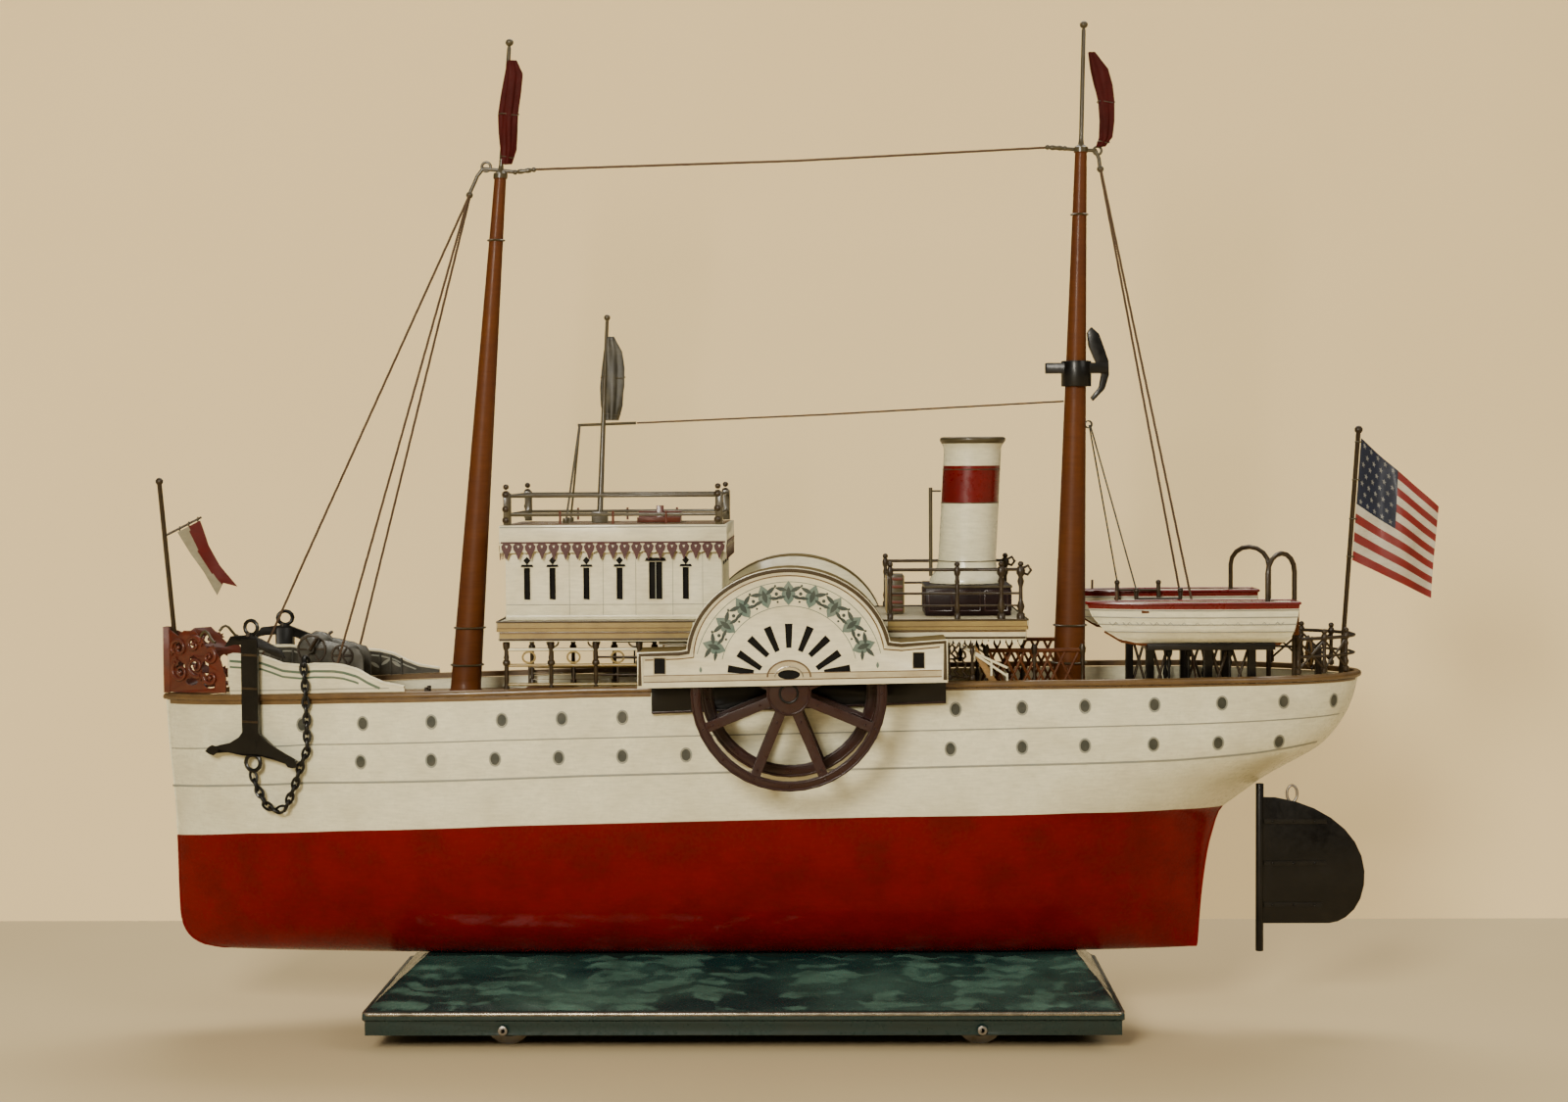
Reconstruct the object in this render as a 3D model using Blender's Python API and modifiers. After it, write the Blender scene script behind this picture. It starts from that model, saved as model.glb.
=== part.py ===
"""Tinplate toy paddle steamer on its wheeled wave stand. Metres, +Z up, bow at -X, port side at -Y."""
import math

import bmesh
import bpy
from mathutils import Matrix, Vector

# driving dimensions, millimetres; heights are above the floor once LIFT is added
X_SHIFT = 1.8
LIFT = 2.65
GAP = 0.3
BEAM = 92.0
KEEL_Z = 30.2
DECK_Z = 137.0
DECK_T = 1.2
WATERLINE_Z = 91.0
WHEEL_X = -2.8
WHEEL_Z = 147.0
WHEEL_R = 39.3
INNER_R = 36.4
WHEEL_IN = 50.4
WHEEL_OUT = 73.4
SHAFT_R = 2.2
BOX_Y0 = 46.6
BOX_Y1 = 76.0
BOX_T = 1.2
PROM_Z0 = 166.0
PROM_Z1 = 174.0
HOUSE_X0 = -121.0
HOUSE_X1 = -31.0
HOUSE_Y = 34.0
HOUSE_Z1 = 205.0
ROOF_Z1 = 213.6
RUDDER_X = 197.6
STAND_X0 = -178.0
STAND_X1 = 132.0
STAND_Y = 55.0
STAND_WHEEL_R = 10.0
AXLE_Z = 7.35
AXLE_X = (-121.0, 75.0)

for old in list(bpy.data.objects):
    bpy.data.objects.remove(old, do_unlink=True)

ship = bpy.data.collections.new("paddle_steamer")
bpy.context.scene.collection.children.link(ship)
cutters = bpy.data.collections.new("cutters")
bpy.context.scene.collection.children.link(cutters)


def make_material(name, colour, rough, metal):
    mat = bpy.data.materials.new(name)
    mat.use_nodes = True
    node = mat.node_tree.nodes["Principled BSDF"]
    node.inputs["Base Color"].default_value = (*colour, 1.0)
    node.inputs["Roughness"].default_value = rough
    node.inputs["Metallic"].default_value = metal
    return mat


MATS = {
    "white": make_material("white_enamel", (0.72, 0.74, 0.66), 0.35, 0.0),
    "red": make_material("red_enamel", (0.3, 0.01, 0.01), 0.25, 0.0),
    "ochre": make_material("ochre_enamel", (0.42, 0.27, 0.09), 0.4, 0.0),
    "wheel": make_material("maroon_enamel", (0.09, 0.015, 0.015), 0.35, 0.0),
    "black": make_material("black_enamel", (0.01, 0.01, 0.01), 0.35, 0.0),
    "wood": make_material("brown_enamel", (0.2, 0.06, 0.02), 0.4, 0.0),
    "olive": make_material("olive_enamel", (0.09, 0.08, 0.04), 0.45, 0.0),
    "teal": make_material("teal_enamel", (0.01, 0.06, 0.06), 0.3, 0.0),
    "flag": make_material("flag_tin", (0.35, 0.03, 0.03), 0.8, 0.0),
    "wire": make_material("stay_wire", (0.2, 0.1, 0.05), 0.5, 0.6),
    "steel": make_material("tinned_steel", (0.4, 0.4, 0.4), 0.35, 0.9),
}


def place(x, y, z):
    """Millimetres of the drawing to metres of the object."""
    return Vector(((x + X_SHIFT) / 1000.0, y / 1000.0, (z + LIFT) / 1000.0))


def outward(bm):
    """Turns every face of a closed body outwards."""
    bmesh.ops.recalc_face_normals(bm, faces=bm.faces[:])
    if bm.calc_volume(signed=True) < 0.0:
        bmesh.ops.reverse_faces(bm, faces=bm.faces[:])


def add_mesh(name, bm, mat):
    outward(bm)
    mesh = bpy.data.meshes.new(name)
    bm.to_mesh(mesh)
    bm.free()
    mesh.materials.clear()
    mesh.materials.append(MATS[mat])
    obj = bpy.data.objects.new(name, mesh)
    ship.objects.link(obj)
    return obj


def box(name, x0, x1, y0, y1, z0, z1, mat):
    bm = bmesh.new()
    bmesh.ops.create_cube(bm, size=1.0)
    low = place(x0, y0, z0)
    high = place(x1, y1, z1)
    for v in bm.verts:
        v.co = Vector([low[i] + (v.co[i] + 0.5) * (high[i] - low[i]) for i in range(3)])
    return add_mesh(name, bm, mat)


def rod(name, p0, p1, r0, mat, r1=None, sides=12):
    a = place(*p0)
    b = place(*p1)
    axis = b - a
    bm = bmesh.new()
    bmesh.ops.create_cone(
        bm, cap_ends=True, segments=sides, radius1=r0 / 1000.0,
        radius2=(r0 if r1 is None else r1) / 1000.0, depth=axis.length)
    turn = Vector((0, 0, 1)).rotation_difference(axis.normalized()).to_matrix().to_4x4()
    bmesh.ops.transform(bm, matrix=Matrix.Translation((a + b) / 2) @ turn, verts=bm.verts[:])
    return add_mesh(name, bm, mat)


def ball(name, centre, r, mat, sides=8):
    bm = bmesh.new()
    bmesh.ops.create_uvsphere(bm, u_segments=sides, v_segments=sides // 2 + 1, radius=r / 1000.0)
    bmesh.ops.translate(bm, vec=place(*centre), verts=bm.verts[:])
    return add_mesh(name, bm, mat)


def bake(obj):
    """Evaluates modifiers and curves into a plain welded mesh."""
    depsgraph = bpy.context.evaluated_depsgraph_get()
    mesh = bpy.data.meshes.new_from_object(obj.evaluated_get(depsgraph))
    bm = bmesh.new()
    bm.from_mesh(mesh)
    bmesh.ops.remove_doubles(bm, verts=bm.verts[:], dist=0.000002)
    outward(bm)
    bm.to_mesh(mesh)
    bm.free()
    name = obj.name
    mat = obj.data.materials[0]
    ship.objects.unlink(obj)
    bpy.data.objects.remove(obj)
    mesh.materials.clear()
    mesh.materials.append(mat)
    new = bpy.data.objects.new(name, mesh)
    ship.objects.link(new)
    new.name = name
    return new


def flat(name, loops, centre, thick, plane, mat):
    """A flat outline with holes, extruded about a centre plane."""
    curve = bpy.data.curves.new(name, "CURVE")
    curve.dimensions = "2D"
    curve.fill_mode = "BOTH"
    curve.extrude = thick / 2000.0
    for loop in loops:
        spline = curve.splines.new("POLY")
        spline.points.add(len(loop) - 1)
        for point, (u, v) in zip(spline.points, loop):
            point.co = (u / 1000.0, v / 1000.0, 0.0, 1.0)
        spline.use_cyclic_u = True
    curve.materials.append(MATS[mat])
    obj = bpy.data.objects.new(name, curve)
    ship.objects.link(obj)
    obj = bake(obj)
    for v in obj.data.vertices:
        u, w, t = v.co.x, v.co.y, v.co.z
        c = centre / 1000.0 + t
        if plane == "xz":
            v.co = (u + X_SHIFT / 1000.0, c, w + LIFT / 1000.0)
        elif plane == "xy":
            v.co = (u + X_SHIFT / 1000.0, w, c + LIFT / 1000.0)
        else:
            v.co = (c + X_SHIFT / 1000.0, u, w + LIFT / 1000.0)
    bm = bmesh.new()
    bm.from_mesh(obj.data)
    outward(bm)
    bm.to_mesh(obj.data)
    bm.free()
    return obj


def wire(name, points, r, mat, closed=False, resolution=1):
    curve = bpy.data.curves.new(name, "CURVE")
    curve.dimensions = "3D"
    curve.bevel_depth = r / 1000.0
    curve.bevel_resolution = resolution
    curve.use_fill_caps = True
    spline = curve.splines.new("POLY")
    spline.points.add(len(points) - 1)
    for point, co in zip(spline.points, points):
        point.co = (*place(*co), 1.0)
    spline.use_cyclic_u = closed
    curve.materials.append(MATS[mat])
    obj = bpy.data.objects.new(name, curve)
    ship.objects.link(obj)
    return bake(obj)


def turned(name, profile, foot, lean, mat, steps=24):
    """A closed profile of radius and height, turned about a vertical axis and then leaned."""
    bm = bmesh.new()
    verts = [bm.verts.new((r / 1000.0, 0.0, z / 1000.0)) for r, z in profile]
    for a, b in zip(verts, verts[1:]):
        bm.edges.new((a, b))
    if profile[0][0] > 0.0:
        bm.edges.new((verts[-1], verts[0]))
    mesh = bpy.data.meshes.new(name)
    bm.to_mesh(mesh)
    bm.free()
    mesh.materials.append(MATS[mat])
    obj = bpy.data.objects.new(name, mesh)
    ship.objects.link(obj)
    mod = obj.modifiers.new("turn", "SCREW")
    mod.axis = "Z"
    mod.angle = math.radians(360.0)
    mod.steps = steps
    mod.render_steps = steps
    mod.use_merge_vertices = True
    mod.merge_threshold = 0.000002
    obj = bake(obj)
    base = place(*foot)
    for v in obj.data.vertices:
        v.co = (v.co.x + base.x + v.co.z * lean, v.co.y + base.y, v.co.z + base.z)
    return obj


def ring(name, centre, major, minor, axis, mat, sides=24):
    points = []
    for k in range(sides):
        a = 2 * math.pi * k / sides
        c, s = major * math.cos(a), major * math.sin(a)
        if axis == "y":
            points.append((centre[0] + c, centre[1], centre[2] + s))
        elif axis == "x":
            points.append((centre[0], centre[1] + c, centre[2] + s))
        else:
            points.append((centre[0] + c, centre[1] + s, centre[2]))
    return wire(name, points, minor, mat, closed=True)


def combine(objs, operation="UNION"):
    """Joins or cuts the first object with the others and bakes the result."""
    base = objs[0]
    for other in objs[1:]:
        ship.objects.unlink(other)
        cutters.objects.link(other)
        other.hide_render = True
        other.display_type = "WIRE"
        mod = base.modifiers.new("shape", "BOOLEAN")
        mod.operation = operation
        mod.solver = "EXACT"
        mod.object = other
    done = bake(base)
    for other in objs[1:]:
        bpy.data.objects.remove(other, do_unlink=True)
    return done


def mirrored(obj, name):
    """A copy on the other side of the middle plane."""
    bm = bmesh.new()
    bm.from_mesh(obj.data)
    for v in bm.verts:
        v.co.y = -v.co.y
    mesh = bpy.data.meshes.new(name)
    outward(bm)
    bm.to_mesh(mesh)
    bm.free()
    mesh.materials.clear()
    mesh.materials.append(obj.data.materials[0])
    new = bpy.data.objects.new(name, mesh)
    ship.objects.link(new)
    return new


def set_origin(obj, point):
    """Puts the object's origin on its joint axis without moving the shape."""
    p = place(*point)
    for v in obj.data.vertices:
        v.co = v.co - p
    obj.location = p


def lerp_table(table, t):
    for (a, va), (b, vb) in zip(table, table[1:]):
        if t <= b:
            return va + (vb - va) * max(0.0, (t - a) / (b - a))
    return table[-1][1]


SHEER = ((-280.0, 138.0), (-188.0, 142.0), (-86.0, 144.6), (60.0, 146.3), (172.0, 147.2), (245.0, 146.6))

# height, bow end, stern end, half breadth, stern sharpness
LEVELS = (
    (30.2, -250.0, 170.6, 11.0, 0.9),
    (31.6, -258.0, 171.0, 15.5, 0.9),
    (35.5, -264.5, 171.3, 22.0, 0.9),
    (42.5, -268.0, 171.8, 30.0, 0.9),
    (55.0, -268.9, 172.9, 37.5, 0.9),
    (72.0, -269.2, 175.3, 42.0, 0.88),
    (82.0, -269.5, 177.9, 43.6, 0.86),
    (90.0, -269.8, 181.0, 44.5, 0.84),
    (96.0, -270.1, 188.8, 45.0, 0.79),
    (103.0, -270.7, 198.6, 45.3, 0.71),
    (110.5, -271.4, 211.8, 45.6, 0.64),
    (117.0, -272.0, 222.6, 45.8, 0.58),
    (126.0, -272.6, 230.8, 46.0, 0.54),
)
BOW_LEN = 150.0
STERN_LEN = 120.0
STATIONS = 26


def half_breadth(x, x0, x1, b, sharp):
    """Half breadth of one level at x, fine at the stem and round or sharp at the stern."""
    width = b
    s = (x - x0) / BOW_LEN
    if s < 1.0:
        s = max(0.0, s)
        width = min(width, b * (1.0 - (1.0 - s) ** 2.1) ** 0.82)
    s = (x1 - x) / STERN_LEN
    if s < 1.0:
        s = max(0.0, s)
        width = min(width, b * (1.0 - (1.0 - s) ** 2.4) ** sharp)
    return max(width, 0.9)


def deck_half(x, inset=0.0):
    """Half breadth of the deck edge, less an inset."""
    return half_breadth(x, -273.2 + inset, 239.5 - inset, BEAM / 2 - inset, 0.52)


def station_list(x0, x1):
    """Stations of one level, closer together towards both ends."""
    out = []
    for k in range(STATIONS + 1):
        t = k / STATIONS
        out.append(x0 + (x1 - x0) * 0.5 * (1.0 - math.cos(math.pi * t)))
    return out


def level_loop(z_of, x0, x1, b, sharp):
    xs = station_list(x0, x1)
    port = [(x, -half_breadth(x, x0, x1, b, sharp), z_of(x)) for x in xs]
    star = [(x, half_breadth(x, x0, x1, b, sharp), z_of(x)) for x in reversed(xs)]
    return port + star


def sheer(x):
    return lerp_table(SHEER, x)


def loft(name, loops, mat, close=False):
    """Skins a list of equal loops; open lofts are capped at both ends."""
    bm = bmesh.new()
    rows = [[bm.verts.new(place(*p)) for p in loop] for loop in loops]
    n = len(rows[0])
    pairs = list(zip(rows, rows[1:]))
    if close:
        pairs.append((rows[-1], rows[0]))
    for low, high in pairs:
        for k in range(n):
            bm.faces.new((low[k], low[(k + 1) % n], high[(k + 1) % n], high[k]))
    if not close:
        for row in (rows[0], rows[-1]):
            half = n // 2
            for k in range(half - 1):
                bm.faces.new((row[k], row[k + 1], row[n - 2 - k], row[n - 1 - k]))
    return add_mesh(name, bm, mat)


def build_hull():
    loops = []
    for z, x0, x1, b, sharp in LEVELS:
        loops.append(level_loop(lambda x, z=z: z, x0, x1, b, sharp))
    loops.append(level_loop(lambda x: 0.5 * (126.0 + sheer(x)), -272.9, 236.3, BEAM / 2, 0.53))
    loops.append(level_loop(sheer, -273.2, 239.0, BEAM / 2, 0.52))
    loops.append(level_loop(sheer, -270.2, 236.4, BEAM / 2 - 1.2, 0.52))
    loops.append(level_loop(lambda x: DECK_Z, -270.2, 236.4, BEAM / 2 - 1.2, 0.52))
    hull = loft("hull", loops, "white")
    bore = rod("bore", (WHEEL_X, -60, WHEEL_Z), (WHEEL_X, 60, WHEEL_Z), SHAFT_R + 1.0, "white", sides=24)
    return combine([hull, bore], "DIFFERENCE")


def build_deck():
    loops = []
    for z in (DECK_Z + GAP, DECK_Z + GAP + DECK_T):
        loops.append(level_loop(lambda x, z=z: z, -268.6, 235.4, BEAM / 2 - 1.2 - GAP, 0.52))
    return loft("main_deck", loops, "ochre")


def build_moulding():
    def loop(inset, rise):
        return level_loop(
            lambda x: sheer(x) + rise, -273.2 + inset, 239.0 - inset, BEAM / 2 - inset, 0.52)
    ring_body = loft("deck_moulding", [loop(-1.4, GAP), loop(-1.4, 2.8), loop(1.6, 2.8), loop(1.6, GAP)],
                     "ochre", close=True)
    blocks = [ring_body]
    for side in (-1, 1):
        y0, y1 = sorted((side * 44.7, side * 46.2))
        blocks.append(box("bearing", WHEEL_X - 6.5, WHEEL_X + 6.5, y0, y1, 146.6, 153.0, "ochre"))
    ring_body = combine(blocks)
    bore = rod("bore", (WHEEL_X, -60, WHEEL_Z), (WHEEL_X, 60, WHEEL_Z), SHAFT_R + 0.7, "white", sides=16)
    return combine([ring_body, bore], "DIFFERENCE")


def arc(cx, cz, rx, rz, a0, a1, n):
    out = []
    for k in range(n + 1):
        a = math.radians(a0 + (a1 - a0) * k / n)
        out.append((cx + rx * math.cos(a), cz + rz * math.sin(a)))
    return out


def box_foot(x):
    """Height of the paddle box's lower edge, which rises a little aft."""
    return 151.05 + 0.0156 * x


def box_outline(inset):
    """Side view of the paddle box: low shoulders and a high half-round arch."""
    cx, cz = -2.6, 161.2
    rx, rz = 40.6 - inset, 35.8 - inset
    right = 60.0 - inset
    left = -62.5 + inset
    low = math.degrees(math.asin((6.4 - inset) / rz))
    high = 180.0 - math.degrees(math.asin((3.4 - inset) / rz))
    out = [(left, box_foot(left) + inset), (right, box_foot(right) + inset)]
    out += [(right, 168.3 - inset), (42.0, 167.0 - inset)]
    out += arc(cx, cz, rx, rz, low, high, 22)
    out += [(-46.5, 164.0 - inset), (left, 163.6 - inset)]
    return out


# outer and inner end of one half of the fan of slots in the box's face
FAN = (
    (-2.6, 175.2, -2.6, 165.5), (-11.2, 173.8, -7.1, 164.1), (-18.2, 169.4, -10.9, 162.4),
    (-22.7, 163.5, -13.7, 157.3), (-26.9, 157.3, -16.6, 155.8),
)


def build_paddle_box(side, name):
    shell = flat(name, [box_outline(0.0)], side * (BOX_Y0 + BOX_Y1) / 2, BOX_Y1 - BOX_Y0, "xz", "white")
    outline = box_outline(BOX_T)
    outline[0] = (outline[0][0], 140.0)
    outline[1] = (outline[1][0], 140.0)
    y0 = BOX_Y0 + BOX_T
    y1 = BOX_Y1 - BOX_T
    room = flat("room", [outline], side * (y0 + y1) / 2, y1 - y0, "xz", "white")
    cut = combine([shell, room], "DIFFERENCE")
    rim = flat("rim", [box_outline(-0.4), box_outline(1.7)], side * BOX_Y1, 1.6, "xz", "white")
    cut = combine([cut, rim])
    slots = [cut]
    rays = list(FAN) + [(-5.2 - a, b, -5.2 - c, d) for a, b, c, d in FAN[1:]]
    for ax, az, bx, bz in rays:
        length = math.hypot(ax - bx, az - bz)
        nx, nz = -(az - bz) / length, (ax - bx) / length
        loop = [(ax + 1.55 * nx, az + 1.55 * nz), (ax - 1.55 * nx, az - 1.55 * nz),
                (bx - 1.05 * nx, bz - 1.05 * nz), (bx + 1.05 * nx, bz + 1.05 * nz)]
        slots.append(flat("slot", [loop], side * BOX_Y1, 6.0, "xz", "white"))
    return combine(slots, "DIFFERENCE")


def build_guard(side, name):
    x0, x1 = -59.5, 61.0
    low = flat(name, [[(x0, 136.4), (x1, 140.4), (x1, 144.4), (x0, 144.4)]], side * 47.65, 2.7, "xz", "black")
    lip = flat("lip", [[(x0, 143.0), (x1, 143.0), (x1, box_foot(x1) - 0.5), (x0, box_foot(x0) - 0.5)]],
               side * 48.35, 1.3, "xz", "black")
    plate = combine([low, lip])
    r = SHAFT_R + 0.8
    hole = rod("hole", (WHEEL_X, side * 40, WHEEL_Z), (WHEEL_X, side * 52, WHEEL_Z), r, "black", sides=24)
    y0, y1 = sorted((side * 40, side * 52))
    slot = box("slot", WHEEL_X - r, WHEEL_X + r, y0, y1, WHEEL_Z, 160.0, "black")
    return combine([plate, hole, slot], "DIFFERENCE")


def wheel_disc(y, outer, inner):
    """One wheel side: a narrow rim on eight spokes and a hub plate."""
    circle = [(WHEEL_X + outer * math.cos(a * math.pi / 20), WHEEL_Z + outer * math.sin(a * math.pi / 20))
              for a in range(40)]
    loops = [circle]
    wide = 22.5 - math.degrees(math.asin(2.0 / inner))
    near = 22.5 - math.degrees(math.asin(2.0 / 9.0))
    for k in range(8):
        loop = []
        for t in (-1.0, -0.6, -0.2, 0.2, 0.6, 1.0):
            a = math.radians(45.0 * k + wide * t)
            loop.append((WHEEL_X + inner * math.cos(a), WHEEL_Z + inner * math.sin(a)))
        for t in (1.0, -1.0):
            a = math.radians(45.0 * k + near * t)
            loop.append((WHEEL_X + 9.0 * math.cos(a), WHEEL_Z + 9.0 * math.sin(a)))
        loops.append(loop)
    return flat("disc", loops, y, 2.0, "xz", "wheel")


def build_paddle_wheels():
    parts = [rod("paddle_wheels", (WHEEL_X, -WHEEL_OUT, WHEEL_Z), (WHEEL_X, WHEEL_OUT, WHEEL_Z),
                 SHAFT_R, "wheel", sides=16)]
    for side in (-1, 1):
        parts.append(wheel_disc(side * (WHEEL_IN + 1.0), INNER_R, 31.4))
        parts.append(wheel_disc(side * (WHEEL_OUT - 1.0), WHEEL_R, 35.3))
        for k in range(8):
            a = math.radians(22.5 + 45.0 * k)
            c, s = math.cos(a), math.sin(a)
            loop = []
            for r, h in ((27.0, -0.5), (36.1, -0.5), (36.1, 0.5), (27.0, 0.5)):
                loop.append((WHEEL_X + r * c - h * s, WHEEL_Z + r * s + h * c))
            y0, y1 = WHEEL_IN + 0.8, WHEEL_OUT - 0.8
            parts.append(flat("float", [loop], side * (y0 + y1) / 2, y1 - y0, "xz", "wheel"))
    wheels = combine(parts)
    set_origin(wheels, (WHEEL_X, 0, WHEEL_Z))
    return wheels


def build_midships():
    under = PROM_Z1 - 2.4
    block = box("engine_house", -57.0, 56.0, -40.0, 40.0, DECK_Z + GAP + DECK_T + GAP, under - GAP, "white")
    bore = rod("bore", (WHEEL_X, -60, WHEEL_Z), (WHEEL_X, 60, WHEEL_Z), SHAFT_R + 1.2, "white", sides=24)
    combine([block, bore], "DIFFERENCE")
    deck = box("promenade_deck", -123.2, 94.8, -45.8, 45.8, under, PROM_Z1, "white")
    skirt = box("skirt", -122.4, 94.0, -45.0, 45.0, PROM_Z0, under + 1.0, "white")
    room = box("room", -121.2, 92.8, -43.8, 43.8, PROM_Z0 - 5.0, under, "white")
    combine([combine([deck, skirt]), room], "DIFFERENCE")
    z0 = DECK_Z + GAP + DECK_T + GAP
    for side, tag in ((-1, "port"), (1, "starboard")):
        objs = [box("promenade_posts_" + tag, -121.0, -64.0, side * 41 - 0.9, side * 41 + 0.9,
                    under - GAP - 2.4, under - GAP, "ochre")]
        for x in (-120.0, -101.5, -83.0, -65.0):
            objs.append(rod("post", (x, side * 41, z0), (x, side * 41, under - 1.0), 0.9, "ochre", sides=8))
        for z in (148.0, 156.0, 162.5):
            objs.append(rod("rail", (-120.2, side * 41, z), (-64.8, side * 41, z), 0.55, "ochre", sides=6))
        for z in (144.0, 152.0, 159.3):
            objs.append(rod("slat", (-83.2, side * 41, z), (-64.8, side * 41, z), 0.5, "ochre", sides=6))
        combine(objs)
        y = side * 37.5
        objs = []
        for dy in (-3.6, 3.6):
            outline = [(66.0, under - GAP), (69.0, under - GAP), (88.0, z0), (85.0, z0)]
            objs.append(flat("stair_" + tag, [outline], y + dy, 0.9, "xz", "ochre"))
        for k in range(7):
            t = (k + 0.5) / 7
            x = 66.9 + 19.0 * t
            z = (under - GAP) * (1 - t) + z0 * t
            objs.append(box("tread", x - 1.3, x + 2.1, y - 4.0, y + 4.0, z - 0.4, z + 0.4, "ochre"))
        combine(objs)


def build_house():
    z0 = PROM_Z1 + GAP
    z1 = HOUSE_Z1
    shell = box("deckhouse", HOUSE_X0, HOUSE_X1, -HOUSE_Y, HOUSE_Y, z0, z1, "white")
    room = box("room", HOUSE_X0 + 1.2, HOUSE_X1 - 1.2, -HOUSE_Y + 1.2, HOUSE_Y - 1.2, z0 - 5, z1 + 5, "white")
    cuts = [shell, room]
    for x in (-112.0, -101.4, -87.3, -73.5, -46.0):
        cuts.append(box("window", x - 1.5, x + 1.5, -60, 60, 182.6, 196.0, "white"))
    cuts.append(box("door", -61.5, -55.5, -60, 60, 182.6, 198.4, "white"))
    for y in (-18.0, 0.0, 18.0):
        cuts.append(box("end_window", -130, -20, y - 4, y + 4, 184.0, 196.0, "white"))
    combine(cuts, "DIFFERENCE")
    roof = box("bridge_deck", HOUSE_X0 - 2.2, HOUSE_X1 + 2.2, -HOUSE_Y - 2.4, HOUSE_Y + 2.4,
               z1 + GAP, ROOF_Z1, "white")
    skirt = box("skirt", HOUSE_X0 - 2.0, HOUSE_X1 + 2.0, -HOUSE_Y - 2.2, HOUSE_Y + 2.2, 200.0, z1 + 2, "white")
    hole = box("hole", HOUSE_X0 - 1.2, HOUSE_X1 + 1.2, -HOUSE_Y - 1.4, HOUSE_Y + 1.4, 195.0, z1 + GAP, "white")
    roof = combine([roof, skirt])
    roof = combine([roof, hole], "DIFFERENCE")
    count = 15
    step = (HOUSE_X1 - HOUSE_X0 + 6.0) / count
    teeth = []
    for k in range(count):
        x = HOUSE_X0 - 3.0 + step * k
        if k == 0:
            teeth.append((x, 190.0))
        teeth.append((x, 200.6))
        for a in (0.18, 0.36, 0.5, 0.64, 0.82):
            teeth.append((x + step * a, 202.9 - 10.4 * (a - 0.5) ** 2))
    teeth += [(HOUSE_X1 + 3.0, 200.6), (HOUSE_X1 + 3.0, 190.0)]
    ends = [(-44.0, 190.0)]
    count = 11
    step = 2 * (HOUSE_Y + 4.0) / count
    for k in range(count):
        y = -HOUSE_Y - 4.0 + step * k
        ends.append((y, 200.6))
        for a in (0.18, 0.36, 0.5, 0.64, 0.82):
            ends.append((y + step * a, 202.9 - 10.4 * (a - 0.5) ** 2))
    ends += [(HOUSE_Y + 4.0, 200.6), (44.0, 190.0)]
    wave_x = flat("wave", [teeth], 0.0, 90.0, "xz", "white")
    wave_y = flat("wave", [ends], -76.0, 120.0, "yz", "white")
    combine([roof, wave_x, wave_y], "DIFFERENCE")
    z = ROOF_Z1 + GAP
    x0, x1, y = HOUSE_X0 + 1.0, HOUSE_X1 - 1.0, HOUSE_Y
    objs = [box("bridge_rail", x0 - 1.5, x0 + 1.5, -y - 1.5, -y + 1.5, z, 227.0, "olive")]
    for px, py in ((x0, y), (x1, -y), (x1, y)):
        objs.append(box("corner", px - 1.5, px + 1.5, py - 1.5, py + 1.5, z, 227.0, "olive"))
    for zz in (218.0, 225.8):
        for py in (-y, y):
            objs.append(rod("rail", (x0, py, zz), (x1, py, zz), 0.7, "olive", sides=8))
        for px in (x0, x1):
            objs.append(rod("rail", (px, -y, zz), (px, y, zz), 0.7, "olive", sides=8))
    combine(objs)
    objs = [rod("signal_mast", (-85.0, 0, z + 0.6), (-81.0, 0, 301.0), 1.3, "olive", r1=0.7)]
    objs.append(rod("yard", (-94.0, 0, 255.6), (-69.0, 0, 256.4), 0.7, "olive", sides=6))
    objs.append(box("step", -88.2, -81.6, -3.2, 3.2, z, 218.4, "olive"))
    for side in (-1, 1):
        objs.append(rod("leg", (-98.5, side * 9.0, z + 0.6), (-93.2, side * 0.45, 255.8), 0.5, "olive", sides=6))
        objs.append(rod("foot", (-98.5, side * 9.0, z), (-98.5, side * 9.0, z + 2.0), 1.4, "olive", sides=8))
    objs.append(ball("truck", (-81.0, 0, 301.5), 1.4, "olive"))
    objs.append(flat("furled_flag", [[(-83.0, 259.0), (-76.4, 258.0), (-74.6, 272.0), (-75.4, 286.0),
                                      (-78.4, 293.0), (-81.6, 292.0)]], 0.0, 1.0, "xz", "olive"))
    combine(objs)
    objs = [box("bridge_bench", -68.5, -50.0, -5.0, 5.0, z, 216.0, "wood")]
    objs.append(box("back", -68.5, -50.0, 3.4, 5.0, 215.5, 218.6, "wood"))
    objs.append(box("binnacle", -60.5, -57.5, -1.5, 1.5, 215.5, 221.0, "wood"))
    combine(objs)


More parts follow.
